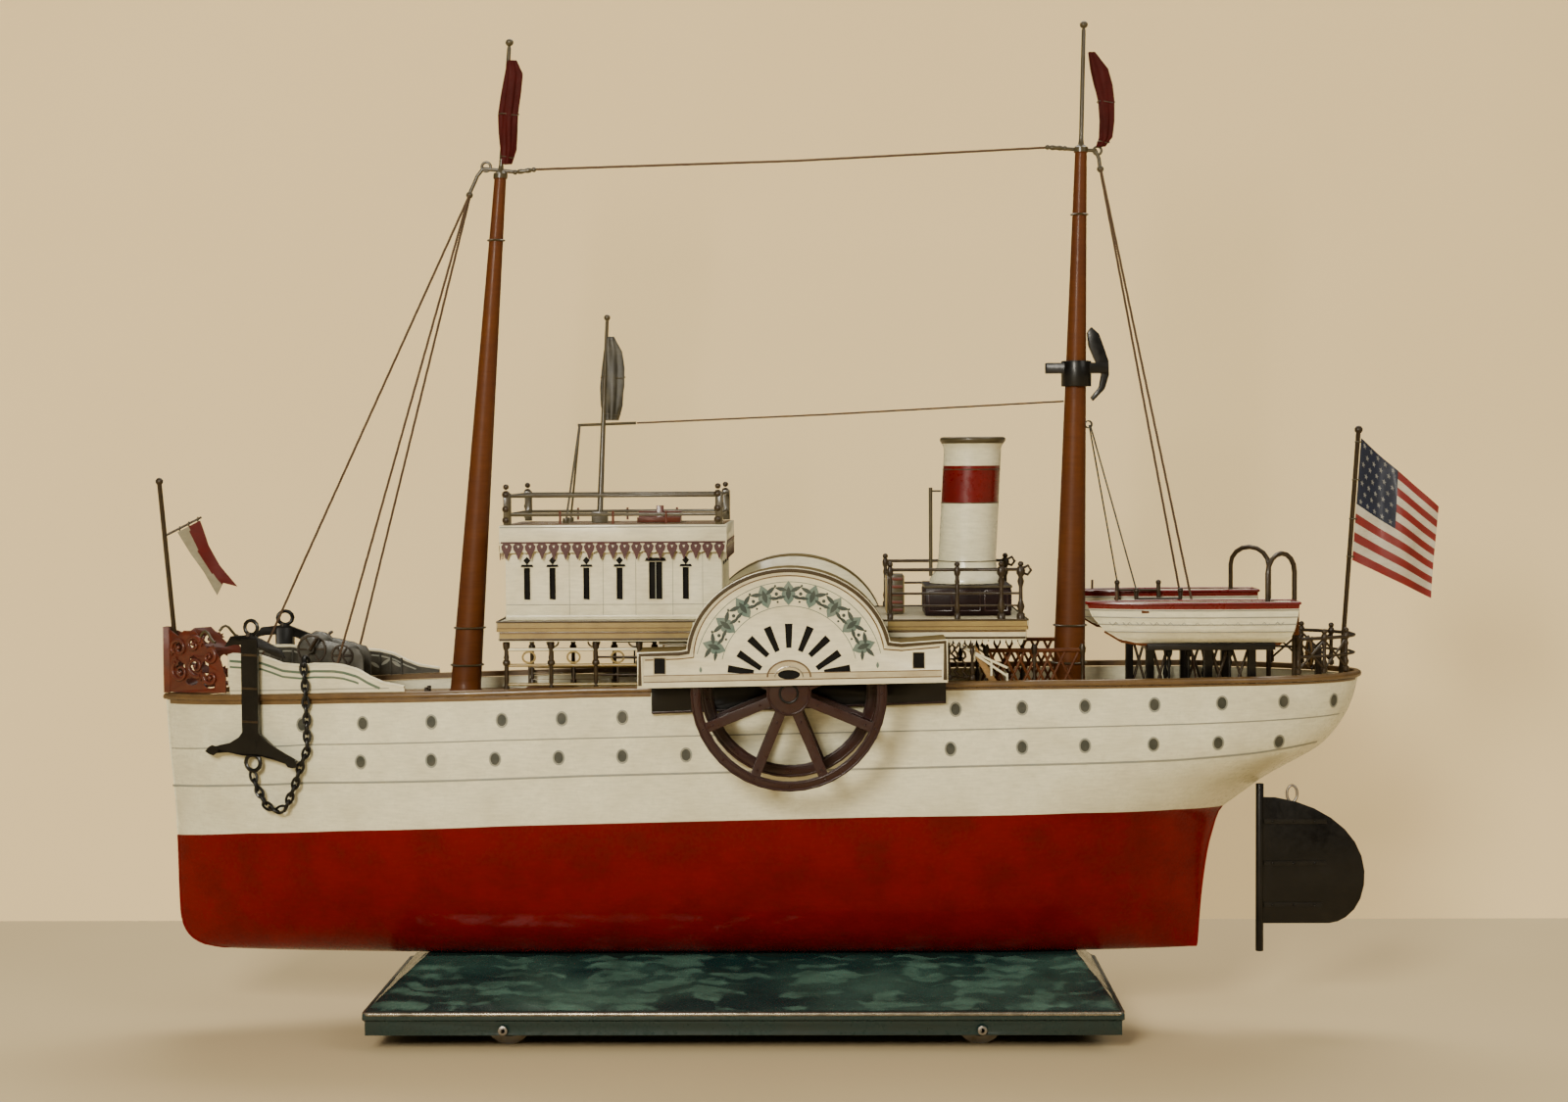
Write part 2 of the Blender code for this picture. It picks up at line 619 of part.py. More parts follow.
def build_funnel():
    z0 = PROM_Z1 + GAP
    box("funnel_casing", 54.0, 90.0, -18.0, 18.0, z0, 187.0, "wheel")
    base = 187.0 + GAP
    profile = [(10.8, 62.2), (13.7, 62.2), (14.0, 61.2), (13.5, 60.0), (12.4, 57.0), (12.1, 46.0),
               (12.3, 9.0), (12.9, 6.0), (14.8, 3.4), (15.6, 1.6), (15.6, 0.0), (10.8, 0.0)]
    turned("funnel", profile, (72.0, 0, base), 0.05, "white", steps=32)
    box("deck_locker", 38.0, 45.0, -6.0, 6.0, z0, 191.0, "white")
    for side, tag in ((-1, "port"), (1, "starboard")):
        y = side * 43.0
        objs = [rod("promenade_rail_" + tag, (37.5, y, 194.8), (93.0, y, 194.8), 0.7, "olive", sides=8)]
        for x in (38.5, 66.0, 84.0, 92.0):
            objs.append(rod("post", (x, y, z0), (x, y, 195.0), 0.8, "olive", sides=8))
        objs.append(rod("mid", (38.0, y, 185.0), (92.5, y, 185.0), 0.5, "olive", sides=8))
        combine(objs)


def mast(name, foot, height, hounds, r_foot, r_hounds, lean):
    profile = [(0.0, height), (1.4, height - 0.6), (1.4, height - 2.4), (0.8, height - 3.4),
               (0.9, hounds + 4.0), (r_hounds, hounds), (r_hounds, hounds - 2.0), (r_foot, 0.0), (0.0, 0.0)]
    return turned(name, profile, foot, lean, "wood", steps=16)


def build_masts():
    z = DECK_Z + 2 * GAP + DECK_T
    objs = [mast("fore_mast", (-143.8, 0, z), 281.6, 224.0, 6.6, 2.5, 0.079)]
    objs.append(rod("iron", (-133.6, 0, 365.4), (-119.0, 0, 363.6), 0.8, "wood", sides=8))
    objs.append(ring("eye", (-132.2, 0, 366.2), 1.9, 0.7, "y", "wood", sides=8))
    objs.append(rod("link", (-133.7, 0, 365.2), (-139.2, 0, 355.4), 0.8, "wood", sides=8))
    objs.append(rod("shackle", (-119.8, 0, 363.6), (-112.0, 0, 364.6), 1.1, "wood", sides=8))
    combine(objs)
    objs = [mast("main_mast", (115.8, 0, z), 286.8, 233.0, 7.0, 2.5, 0.024)]
    objs.append(rod("iron", (107.6, 0, 372.4), (128.0, 0, 370.6), 0.8, "wood", sides=8))
    objs.append(rod("shackle", (107.4, 0, 372.4), (114.4, 0, 371.8), 1.1, "wood", sides=8))
    objs.append(rod("link", (127.6, 0, 370.8), (129.4, 0, 364.0), 0.8, "wood", sides=8))
    objs.append(ring("eye", (128.4, 0, 370.8), 1.7, 0.6, "y", "wood", sides=8))
    combine(objs)
    flat("fore_flag", [[(-127.8, 368.0), (-123.6, 366.4), (-121.6, 374.0), (-118.6, 380.0), (-116.4, 392.0),
                        (-117.4, 404.0), (-121.0, 411.0), (-124.2, 410.0), (-126.4, 398.0), (-125.4, 384.0)]],
         -2.1, 1.8, "xz", "flag")
    flat("main_flag", [[(121.9, 378.6), (127.8, 371.6), (131.6, 372.4), (135.4, 384.0), (135.8, 397.0),
                        (131.6, 408.0), (127.0, 412.8), (122.6, 412.5), (124.0, 398.0), (125.0, 387.0)]],
         -2.1, 1.8, "xz", "flag")
    objs = [box("lookout", 106.3, 132.6, -3.4, 3.4, 276.4, 280.8, "black")]
    objs.append(rod("collar", (119.3, 0, 270.8), (119.3, 0, 281.6), 6.4, "black", sides=16))
    outer = [(125.6, 296.0), (128.8, 293.0), (130.6, 288.0), (132.8, 281.6), (133.0, 275.6), (131.2, 269.6),
             (126.4, 264.6), (125.4, 266.0), (129.0, 270.4), (130.0, 276.0), (128.4, 279.6), (126.4, 283.6),
             (124.6, 288.0), (124.0, 293.6)]
    objs.append(flat("crescent", [outer], 0.0, 4.6, "xz", "black"))
    nest = combine(objs)
    bore = rod("bore", (119.1, 0, 260.0), (119.1, 0, 290.0), 5.0, "black", sides=16)
    combine([nest, bore], "DIFFERENCE")
    wire("mast_stay", [(-111.6, 0, 364.9), (0.0, 0, 367.6), (107.0, 0, 372.3)], 0.45, "wire")
    wire("signal_stay", [(-68.6, 0, 256.4), (10.0, 0, 259.4), (113.9, 0, 264.5)], 0.35, "wire")
    wire("fore_stay", [(-139.6, 0, 354.0), (-213.8, 0, 195.7), (-239.8, 0, 139.0)], 0.4, "wire")
    for side, tag in ((-1, "port"), (1, "starboard")):
        wire("fore_shroud_" + tag, [(-139.4, side * 1.3, 354.2), (-199.0, side * 22.5, 139.0)], 0.45, "wire")
        wire("main_shroud_" + tag, [(129.7, side * 1.2, 362.8), (174.2, side * 19.0, 139.0)], 0.45, "wire")


def follow_edge(obj, side, inset):
    """Bends a flat plate drawn at y = 0 along the deck edge."""
    for v in obj.data.vertices:
        x = v.co.x * 1000.0 - X_SHIFT
        v.co.y += side * deck_half(x, inset) / 1000.0
    return obj


# top edge of the bow bulwarks
BULWARK = (
    (-240.0, 159.4), (-225.0, 159.0), (-220.0, 157.6), (-215.0, 156.0), (-206.5, 155.5), (-201.0, 156.2),
    (-192.5, 156.3), (-188.0, 155.8), (-182.0, 154.2), (-177.0, 151.4), (-171.0, 148.9), (-162.0, 147.4),
)


def build_bow():
    for side, tag in ((-1, "port"), (1, "starboard")):
        xs = [-240.0 + 4.0 * k for k in range(20)] + [-162.0]
        low = [(x, sheer(x) + 2.8 + GAP) for x in xs]
        high = [(x, lerp_table(BULWARK, x)) for x in reversed(xs)]
        follow_edge(flat("bulwark_" + tag, [low + high], 0.0, 1.2, "xz", "white"), side, 0.4)
    z = DECK_Z + 2 * GAP + DECK_T
    side_view = [(-214.0, z), (-214.0, 160.0), (-212.9, 165.4), (-209.9, 167.2), (-205.7, 166.4),
                 (-203.2, 164.3), (-199.8, 163.8), (-195.6, 162.6), (-191.0, 161.2), (-188.0, 160.4),
                 (-186.0, 157.0), (-186.0, z)]
    gaps = [arc(x, 150.0, 3.4, 3.2, 0, 180, 8) + [(x - 3.4, 143.0), (x + 3.4, 143.0)] for x in (-207.0, -194.0)]
    objs = [flat("windlass", [side_view] + gaps, -8.0, 1.6, "xz", "black")]
    objs.append(flat("cheek", [side_view] + gaps, 8.0, 1.6, "xz", "black"))
    objs.append(box("base", -214.6, -185.4, -10.0, 10.0, z, z + 1.6, "black"))
    objs.append(rod("drum", (-208.0, -8.0, 160.4), (-208.0, 8.0, 160.4), 5.0, "black", sides=20))
    objs.append(rod("roller", (-195.0, -8.0, 157.6), (-195.0, 8.0, 157.6), 3.6, "black", sides=16))
    objs.append(rod("shaft", (-208.0, -12.0, 160.4), (-208.0, 12.0, 160.4), 1.5, "black", sides=12))
    combine(objs)
    xs = [-272.0 + 3.0 * k for k in range(11)]
    plates = []
    for side in (-1, 1):
        low = [(x, sheer(x) + 3.4) for x in xs]
        crest = ((-272.0, 169.4), (-266.0, 166.2), (-263.0, 168.6), (-257.0, 168.8), (-254.0, 165.0),
                 (-251.0, 161.6), (-248.0, 163.0), (-245.0, 158.0), (-242.0, 150.0))
        high = [(x, lerp_table(crest, x)) for x in reversed(xs)]
        loops = [low + high]
        for cx, cz, rx, rz in ((-265.5, 161.0, 2.2, 2.6), (-259.3, 163.4, 2.2, 2.2), (-264.8, 152.2, 2.6, 3.2),
                               (-258.0, 155.0, 2.4, 3.4), (-252.0, 153.0, 2.0, 3.6), (-259.0, 147.0, 3.2, 1.6),
                               (-250.0, 146.0, 3.0, 1.5)):
            loops.append(arc(cx, cz, rx, rz, 0, 315, 7))
        plates.append(follow_edge(flat("bow_scroll", loops, 0.0, 1.2, "xz", "wood"), side, 0.6))
    plates.append(box("stem_post", -273.8, -271.2, -2.4, 2.4, sheer(-272) + 2.8 + GAP, 169.8, "wood"))
    combine(plates)
    objs = [rod("jackstaff", (-267.3, 0, 141.6), (-275.0, 0, 232.0), 1.0, "olive", sides=10)]
    objs.append(ball("knob", (-275.0, 0, 232.5), 1.7, "olive"))
    objs.append(rod("spar", (-273.0, 0, 209.0), (-257.0, 0, 217.0), 0.5, "olive", sides=8))
    combine(objs)
    flat("bow_pennant", [[(-267.4, 210.6), (-262.6, 212.8), (-257.6, 215.6), (-254.0, 205.0), (-249.0, 196.0),
                          (-242.0, 187.0), (-248.4, 190.4), (-250.4, 183.4), (-256.0, 193.0), (-262.0, 201.0)]],
         0.0, 0.9, "xz", "flag")


def build_anchor():
    x = -228.5
    objs = [box("anchor_port", x - 3.2, x + 3.2, -1.6, 1.6, 124.0, 167.0, "black")]
    objs.append(ring("ring", (x, 0, 171.4), 3.0, 0.9, "y", "black", sides=12))
    objs.append(flat("stock", [[(-241.0, 163.0), (-238.0, 167.5), (-228.0, 168.4), (-215.0, 162.5),
                                (-213.0, 159.0), (-217.0, 159.6), (-228.0, 164.2), (-236.0, 164.0)]],
                     0.0, 2.8, "xz", "black"))
    objs.append(flat("arms", [[(-249.5, 120.0), (-239.0, 122.0), (-232.0, 127.0), (-225.0, 127.0),
                               (-218.0, 121.0), (-208.0, 116.0), (-210.0, 114.0), (-219.0, 116.5),
                               (-224.0, 117.5), (-233.0, 117.5), (-240.0, 118.5), (-248.0, 117.5)]],
                     0.0, 3.0, "xz", "black"))
    objs.append(ring("eye", (x, 0, 114.6), 3.4, 1.0, "y", "black", sides=12))
    anchor = follow_edge(combine(objs), -1, -3.4)
    mirrored(anchor, "anchor_starboard")
    path = [(-228.5, 108.6), (-227.0, 104.0), (-222.6, 96.8), (-218.0, 94.6), (-213.6, 96.6), (-209.5, 106.0),
            (-206.5, 115.0), (-203.8, 121.0), (-203.8, 131.0), (-204.5, 150.0), (-205.0, 155.6)]
    points = [(px, -deck_half(px, -2.9), pz) for px, pz in path]
    y = -deck_half(-205.0, 0.4)
    points += [(-205.0, y - 1.4, 157.4), (-205.0, y + 1.4, 157.4), (-205.0, y + 3.0, 155.0)]
    chain = wire("anchor_chain_port", points, 1.1, "black")
    mirrored(chain, "anchor_chain_starboard")


def boat_loop(z, x0, x1, half, y):
    xs = [x0 + (x1 - x0) * k / 14 for k in range(15)]
    port, star = [], []
    for x in xs:
        s = (x - x0) / (x1 - x0)
        w = half * min(1.0, (1.0 - (1.0 - min(1.0, s / 0.6)) ** 2.0) ** 0.7)
        w = w * (1.0 - 0.25 * max(0.0, (s - 0.6) / 0.4) ** 2)
        w = max(w, 0.5)
        port.append((x, y - w, z))
        star.append((x, y + w, z))
    return port + star[::-1]


def build_lifeboat():
    y = -46.0
    loops = [
        boat_loop(164.6, 139.0, 199.0, 1.6, y), boat_loop(166.4, 131.0, 201.0, 4.8, y),
        boat_loop(170.2, 125.4, 202.2, 8.4, y), boat_loop(176.0, 120.5, 203.2, 10.2, y),
        boat_loop(181.0, 118.6, 203.8, 10.8, y), boat_loop(181.0, 120.8, 202.6, 9.6, y),
        boat_loop(172.4, 127.0, 200.6, 7.4, y), boat_loop(168.9, 134.0, 198.8, 4.2, y),
    ]
    boat = loft("lifeboat_port", loops, "white")
    boat = combine([boat, box("thwart", 190.0, 195.0, y - 8.4, y + 8.4, 176.8, 178.3, "white")])
    mirrored(boat, "lifeboat_starboard")
    z0 = DECK_Z + 2 * GAP + DECK_T
    objs = [box("boat_cradle_port", 138.0, 190.0, -34.6, -32.0, z0, z0 + 2.0, "black")]
    for x in (146.0, 170.0, 188.0):
        objs.append(box("leg", x - 1.6, x + 1.6, -35.2, -31.8, z0 + 0.5, 162.5, "black"))
    objs.append(box("beam", 143.0, 195.0, -49.0, -31.5, 161.7, 164.3, "black"))
    cradle = combine(objs)
    mirrored(cradle, "boat_cradle_starboard")
    points = [(206.6, -28.5, z0), (206.6, -28.5, 188.0)]
    for k in range(9):
        a = math.radians(180.0 * k / 8)
        points.append((199.6 + 7.0 * math.cos(a), -36.5 + 8.0 * math.cos(a), 192.5 + 8.0 * math.sin(a)))
    points.append((192.6, -44.5, 178.6))
    davit = wire("davit_port", points, 1.1, "olive")
    mirrored(davit, "davit_starboard")


def build_stern():
    z = sheer(232) + 2.8 + GAP
    xs = [208.0, 214.0, 220.0, 226.0, 231.0, 234.5, 236.4]
    path = [(x, -deck_half(x, 2.2)) for x in xs] + [(x, deck_half(x, 2.2)) for x in reversed(xs)]
    objs = [wire("stern_rail", [(x, y, 164.5) for x, y in path], 0.8, "olive")]
    objs.append(wire("mid", [(x, y, 157.0) for x, y in path], 0.6, "olive"))
    for x, y in (path[0], path[2], path[4], path[-5], path[-3], path[-1]):
        objs.append(rod("post", (x, y, z), (x, y, 164.6), 0.8, "olive", sides=8))
    combine(objs)
    z0 = DECK_Z + 2 * GAP + DECK_T
    objs = [ring("steering_wheel", (219.0, 0, 156.5), 5.6, 0.7, "x", "wood", sides=14)]
    for a in (0, 60, 120):
        c, s = 7.2 * math.cos(math.radians(a)), 7.2 * math.sin(math.radians(a))
        objs.append(rod("spoke", (219.0, -c, 156.5 - s), (219.0, c, 156.5 + s), 0.45, "wood", sides=6))
    objs.append(rod("hub", (218.0, 0, 156.5), (222.5, 0, 156.5), 1.3, "wood", sides=10))
    objs.append(box("stand", 221.2, 223.6, -1.8, 1.8, z0, 158.5, "wood"))
    combine(objs)
    objs = [rod("ensign_staff", (231.4, 0, z0), (239.2, 0, 251.0), 1.0, "olive", sides=10)]
    objs.append(ball("knob", (239.3, 0, 251.6), 1.8, "olive"))
    combine(objs)
    outline = [(240.4, 248.0), (273.0, 218.7), (271.0, 179.4), (236.8, 196.0)]
    flat("ensign", [outline], 0.0, 1.0, "xz", "flag")
    outline = [(RUDDER_X, 40.0), (227.0, 40.0), (231.0, 40.8), (234.4, 42.6), (238.0, 46.0), (240.6, 50.6),
               (242.1, 56.4), (242.3, 62.5), (241.0, 69.0), (238.2, 75.0), (233.8, 80.6), (228.0, 85.4),
               (221.0, 89.4), (213.0, 92.4), (204.4, 94.2), (RUDDER_X, 94.4)]
    blade = flat("rudder", [outline], 0.0, 1.8, "xz", "black")
    stock = rod("stock", (RUDDER_X, 0, 28.0), (RUDDER_X, 0, 100.2), 1.7, "black", sides=16)
    rudder = combine([blade, stock])
    set_origin(rudder, (RUDDER_X, 0, 65.0))


def rect_loop(x0, x1, y, z):
    return [(x0, -y, z), (x1, -y, z), (x1, y, z), (x0, y, z)]


def build_stand():
    t = 1.2
    x0, x1, y = STAND_X0, STAND_X1, STAND_Y
    loops = [
        rect_loop(x0 + t, x1 - t, y - t, 27.4), rect_loop(x0 + t, x1 - t, y - t, 5.0),
        rect_loop(x0, x1, y, 5.0), rect_loop(x0, x1, y, 10.8),
        rect_loop(x0 - 0.9, x1 + 0.9, y + 0.9, 11.6), rect_loop(x0 - 0.9, x1 + 0.9, y + 0.9, 13.8),
        rect_loop(x0 + 0.4, x1 - 0.4, y - 0.4, 14.8), rect_loop(-159.0, 118.0, 12.0, KEEL_Z - GAP), ]
    loops[0] = rect_loop(-157.4, 116.4, 11.4, KEEL_Z - GAP - t)
    loops.insert(1, rect_loop(x0 + t, x1 - t, y - t, 13.4))
    tray = loft("stand_body", loops, "teal")
    holes = [tray]
    for x in AXLE_X:
        holes.append(rod("hole", (x, -70, AXLE_Z), (x, 70, AXLE_Z), 1.6, "teal", sides=16))
    combine(holes, "DIFFERENCE")
    for x, name in zip(AXLE_X, ("stand_axle_front", "stand_axle_rear")):
        objs = [rod(name, (x, -57.0, AXLE_Z), (x, 57.0, AXLE_Z), 1.1, "steel", sides=12)]
        for side in (-1, 1):
            objs.append(rod("wheel", (x, side * 33.5, AXLE_Z), (x, side * 38.5, AXLE_Z), STAND_WHEEL_R,
                            "steel", sides=24))
        set_origin(combine(objs), (x, 0, AXLE_Z))


build_hull()
build_deck()
build_moulding()
for side_sign, side_tag in ((-1, "port"), (1, "starboard")):
    build_paddle_box(side_sign, "paddle_box_" + side_tag)
    build_guard(side_sign, "guard_" + side_tag)
build_paddle_wheels()
build_midships()
build_house()
build_funnel()
build_masts()
build_bow()
build_anchor()
build_lifeboat()
build_stern()
build_stand()
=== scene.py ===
import math

import bmesh
import bpy
from mathutils import Matrix, Vector


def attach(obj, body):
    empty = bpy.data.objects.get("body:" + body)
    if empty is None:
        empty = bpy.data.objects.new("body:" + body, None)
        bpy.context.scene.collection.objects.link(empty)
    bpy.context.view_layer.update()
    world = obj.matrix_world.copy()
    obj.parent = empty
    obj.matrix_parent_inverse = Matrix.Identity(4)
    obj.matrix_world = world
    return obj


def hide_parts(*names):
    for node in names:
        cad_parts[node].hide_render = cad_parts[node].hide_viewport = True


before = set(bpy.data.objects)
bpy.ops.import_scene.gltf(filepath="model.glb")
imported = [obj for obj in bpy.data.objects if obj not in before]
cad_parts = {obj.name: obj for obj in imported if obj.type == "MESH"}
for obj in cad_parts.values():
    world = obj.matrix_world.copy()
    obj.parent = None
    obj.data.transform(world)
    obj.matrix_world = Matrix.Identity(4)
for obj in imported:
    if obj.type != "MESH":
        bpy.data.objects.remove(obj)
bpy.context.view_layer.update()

# Painted tinplate paddle steamer on its wheeled wave stand.
# Drawing sizes are millimetres; bow at -X, port side at -Y.
X_SHIFT = 1.8
LIFT = 2.65
BEAM = 92
KEEL_Z = 30.2
DECK_Z = 137
SHIP = "ship_and_stand"
SIDES = ((-1, "port"), (1, "starboard"))

# ---------------------------------------------------------------- drawing helpers


def at(x, y, z):
    """Millimetres of the drawing to metres of the model."""
    return Vector(((x + X_SHIFT) / 1000, y / 1000, (z + LIFT) / 1000))


def between(table, t):
    """Value of a two-column table at t, straight between its rows."""
    for (a, va), (b, vb) in zip(table, table[1:]):
        if t <= b:
            return va + (vb - va) * max(0, (t - a) / (b - a))
    return table[-1][1]


def blend(a, b, t):
    """Spot a share t of the way from a to b."""
    return tuple(p + (q - p) * t for p, q in zip(a, b))


def along(points, t):
    """Spot a share t of the way along evenly counted points."""
    t *= len(points) - 1
    k = min(len(points) - 2, int(t))
    return blend(points[k], points[k + 1], t - k)


def steps(a, b, n):
    return [a + (b - a) * k / n for k in range(n + 1)]


def crowd(t):
    """A share t moved so that even steps stand closer at both ends."""
    return 0.5 * (1 - math.cos(math.pi * t))


def swing(cx, cz, rx, degrees, rz=None):
    """Spot on a circle, or an ellipse, at an angle."""
    a = math.radians(degrees)
    return cx + rx * math.cos(a), cz + (rx if rz is None else rz) * math.sin(a)


def arc(cx, cz, rx, rz, a0, a1, n):
    return [swing(cx, cz, rx, a0 + (a1 - a0) * k / n, rz) for k in range(n + 1)]


def ring_points(centre, r, count, axis):
    """Spots of a circle about an axis through centre."""
    x, y, z = centre
    out = []
    for k in range(count):
        c, s = r * math.cos(2 * math.pi * k / count), r * math.sin(2 * math.pi * k / count)
        out.append({"x": (x, y + c, z + s), "y": (x + c, y, z + s), "z": (x + c, y + s, z)}[axis])
    return out


def box_of(x0, x1, z0, z1):
    """Corners of an upright rectangle."""
    return [(x0, z0), (x1, z0), (x1, z1), (x0, z1)]


# A lay turns a point (u, v) of a flat drawing and its height h into a point of the model.


def flank(side, y):
    """Lay for a plane that faces the ship's side at breadth y."""
    return lambda u, v, h: (u, side * (y + h), v)


def end_face(x, out):
    """Lay for a plane across the ship at x, facing the bow (-1) or the stern (1)."""
    return lambda u, v, h: (x + out * h, u, v)


def floor_at(z, squeeze=1):
    """Lay for a level plane at z."""
    return lambda u, v, h: (u, v * squeeze, z + h)


def raised(lay, by):
    return lambda u, v, h: lay(u, v, h + by)


class Tinwork:
    """One piece of the model while its sheet, wire and castings are put together."""

    def __init__(self, name, paint):
        """The paint given here is used wherever a part names none."""
        self.name = name
        self.paints = [paint]
        self.bm = bmesh.new()

    def place_of(self, paint):
        """Number of a paint among those of the piece."""
        if paint is None:
            return 0
        if paint not in self.paints:
            self.paints.append(paint)
        return self.paints.index(paint)

    def face(self, corners, paint):
        self.bm.faces.new(corners).material_index = self.place_of(paint)

    def skin(self, rows, paint=None, wrap=False, caps=False):
        """Faces between equal rows of drawing points; paint may depend on the row and column."""
        tone = paint if callable(paint) else lambda j, k: paint
        grid = [[self.bm.verts.new(at(*p)) for p in row] for row in rows]
        n = len(grid[0])
        for j, (low, high) in enumerate(zip(grid, grid[1:])):
            for k in range(n if wrap else n - 1):
                self.face((low[k], low[(k + 1) % n], high[(k + 1) % n], high[k]), tone(j, k))
        if caps:
            self.face(grid[0], tone(0, 0))
            self.face(grid[-1], tone(0, 0))
        return grid

    def tube(self, points, radius, paint=None, sides=8, closed=False, flat=1):
        """Round wire along points; radius may be a list, flat squeezes it across."""
        pts = [Vector(p) for p in points]
        n = len(pts)
        radii = radius if isinstance(radius, (list, tuple)) else [radius] * n
        rows = []
        side = None
        for i, p in enumerate(pts):
            before = pts[(i - 1) % n] if closed or i > 0 else p
            after = pts[(i + 1) % n] if closed or i < n - 1 else p
            ahead = (after - before).normalized()
            if side is None:
                side = ahead.cross(Vector((0, 1, 0)))
                if side.length < 0.1:
                    side = ahead.cross(Vector((1, 0, 0)))
            side = (side - ahead * side.dot(ahead)).normalized()
            up = ahead.cross(side)
            spots = arc(0, 0, radii[i], radii[i] * flat, 0, 360 * (sides - 1) / sides, sides - 1)
            rows.append([p + side * c + up * s for c, s in spots])
        if closed:
            rows.append(rows[0])
        self.skin(rows, paint, wrap=True, caps=not closed)

    def hoop(self, centre, r, wire, paint=None, count=20, axis="y", sides=8, flat=1):
        """Wire ring about an axis through centre."""
        self.tube(ring_points(centre, r, count, axis), wire, paint, sides, True, flat)

    def turned(self, profile, foot, lean=0, steps=48, paint=None, axis="z", caps=True):
        """Radius and height pairs turned about an upright or athwartships axis through foot."""
        x, y, z = foot
        rows = []
        for r, h in profile:
            centre = (x + h * lean, y, z + h) if axis == "z" else (x, y + h, z)
            rows.append(ring_points(centre, max(r, 0.02), steps, axis))
        self.skin(rows, paint, wrap=True, caps=caps)

    def post(self, x, y, z0, z1, r, paint=None, sides=8):
        """Upright round bar."""
        self.tube([(x, y, z0), (x, y, z1)], r, paint, sides)

    def knob(self, centre, r, paint=None, steps=12):
        self.turned([swing(0, 0, r, a) for a in range(-84, 85, 14)], centre, steps=steps, paint=paint)

    def sheet(self, outline, lay, thick, paint=None):
        """A cut plate: outline points go through lay(u, v, h) at h = 0 and h = thick."""
        low, high = [[self.bm.verts.new(at(*lay(u, v, h))) for u, v in outline] for h in (0, thick)]
        n = len(outline)
        self.face(low[::-1], paint)
        self.face(high, paint)
        for k in range(n):
            self.face((low[k], low[(k + 1) % n], high[(k + 1) % n], high[k]), paint)

    def band(self, points, lay, width, thick, paint=None, closed=False):
        """A raised strip of even width along a path of (u, v)."""
        n = len(points)
        rows = []
        for i, (u, v) in enumerate(points):
            a = points[(i - 1) % n] if closed or i > 0 else points[i]
            b = points[(i + 1) % n] if closed or i < n - 1 else points[i]
            du, dv = b[0] - a[0], b[1] - a[1]
            length = math.hypot(du, dv) or 1
            nu, nv = -dv / length * width / 2, du / length * width / 2
            rows.append([lay(u + nu * share, v + nv * share, h) for share, h in (
                (1, -0.05), (1, thick * 0.7), (0, thick), (-1, thick * 0.7), (-1, -0.05))])
        if closed:
            rows.append(rows[0])
        self.skin(rows, paint)

    def strip(self, u0, u1, v, lay, width, thick, paint=None):
        """A straight level band."""
        self.band([(u0, v), (u1, v)], lay, width, thick, paint)

    def stile(self, u, v0, v1, lay, width, thick, paint=None):
        """A straight upright band."""
        self.band([(u, v0), (u, v1)], lay, width, thick, paint)

    def plate(self, u0, u1, v0, v1, lay, thick, paint=None):
        """A cut rectangle."""
        self.sheet(box_of(u0, u1, v0, v1), lay, thick, paint)

    def frame_line(self, u0, u1, v0, v1, lay, width, thick, paint=None):
        """A band round a rectangle."""
        corners = box_of(u0, u1, v0, v1)
        self.band(corners + corners[:1], lay, width, thick, paint)

    def block(self, x0, x1, y0, y1, z0, z1, paint=None):
        """A folded box with softened edges."""
        made = bmesh.ops.create_cube(self.bm, size=1)
        low, high = at(x0, y0, z0), at(x1, y1, z1)
        for v in made["verts"]:
            v.co = Vector([low[i] + (v.co[i] + 0.5) * (high[i] - low[i]) for i in range(3)])
        edges = list({e for v in made["verts"] for e in v.link_edges})
        for f in {f for v in made["verts"] for f in v.link_faces}:
            f.material_index = self.place_of(paint)
        soft = min(0.25, 0.4 * min(x1 - x0, y1 - y0, z1 - z0))
        out = bmesh.ops.bevel(self.bm, geom=edges, offset=soft / 1000, segments=2, affect="EDGES", profile=0.5)
        for f in out["faces"]:
            f.material_index = self.place_of(paint)

    def rope(self, points, r, pitch):
        """Three strands laid round each other along straight runs."""
        path = []
        for a, b in zip(points, points[1:]):
            a, b = Vector(a), Vector(b)
            n = max(2, int((b - a).length / pitch * 8))
            path += [a.lerp(b, k / n) for k in range(n)]
        path.append(Vector(points[-1]))
        ahead = (path[-1] - path[0]).normalized()
        side = ahead.cross(Vector((0, 1, 0))).normalized()
        up = ahead.cross(side)
        travel = 0
        places = []
        for i, p in enumerate(path):
            if i:
                travel += (p - path[i - 1]).length
            places.append((p, 2 * math.pi * travel / pitch))
        for strand in range(3):
            line = []
            for p, turn in places:
                a = turn + 2 * math.pi * strand / 3
                line.append(p + side * (0.5 * r * math.cos(a)) + up * (0.5 * r * math.sin(a)))
            self.tube(line, 0.58 * r, sides=5)

    def done(self, body=SHIP, stands_for=(), slot=None, crease=50, weld=0):
        """Turns the work into a piece that rides on a body, with its paints; slot is not used."""
        if weld:
            bmesh.ops.remove_doubles(self.bm, verts=self.bm.verts[:], dist=weld / 1000)
        bmesh.ops.recalc_face_normals(self.bm, faces=self.bm.faces[:])
        mesh = bpy.data.meshes.new(self.name)
        self.bm.to_mesh(mesh)
        self.bm.free()
        for paint in self.paints:
            mesh.materials.append(paint)
        for poly in mesh.polygons:
            poly.use_smooth = True
        mesh.set_sharp_from_angle(angle=math.radians(crease))
        piece = bpy.data.objects.new(self.name, mesh)
        bpy.context.scene.collection.objects.link(piece)
        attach(piece, body)
        if stands_for:
            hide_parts(*stands_for)


# ---------------------------------------------------------------- paints


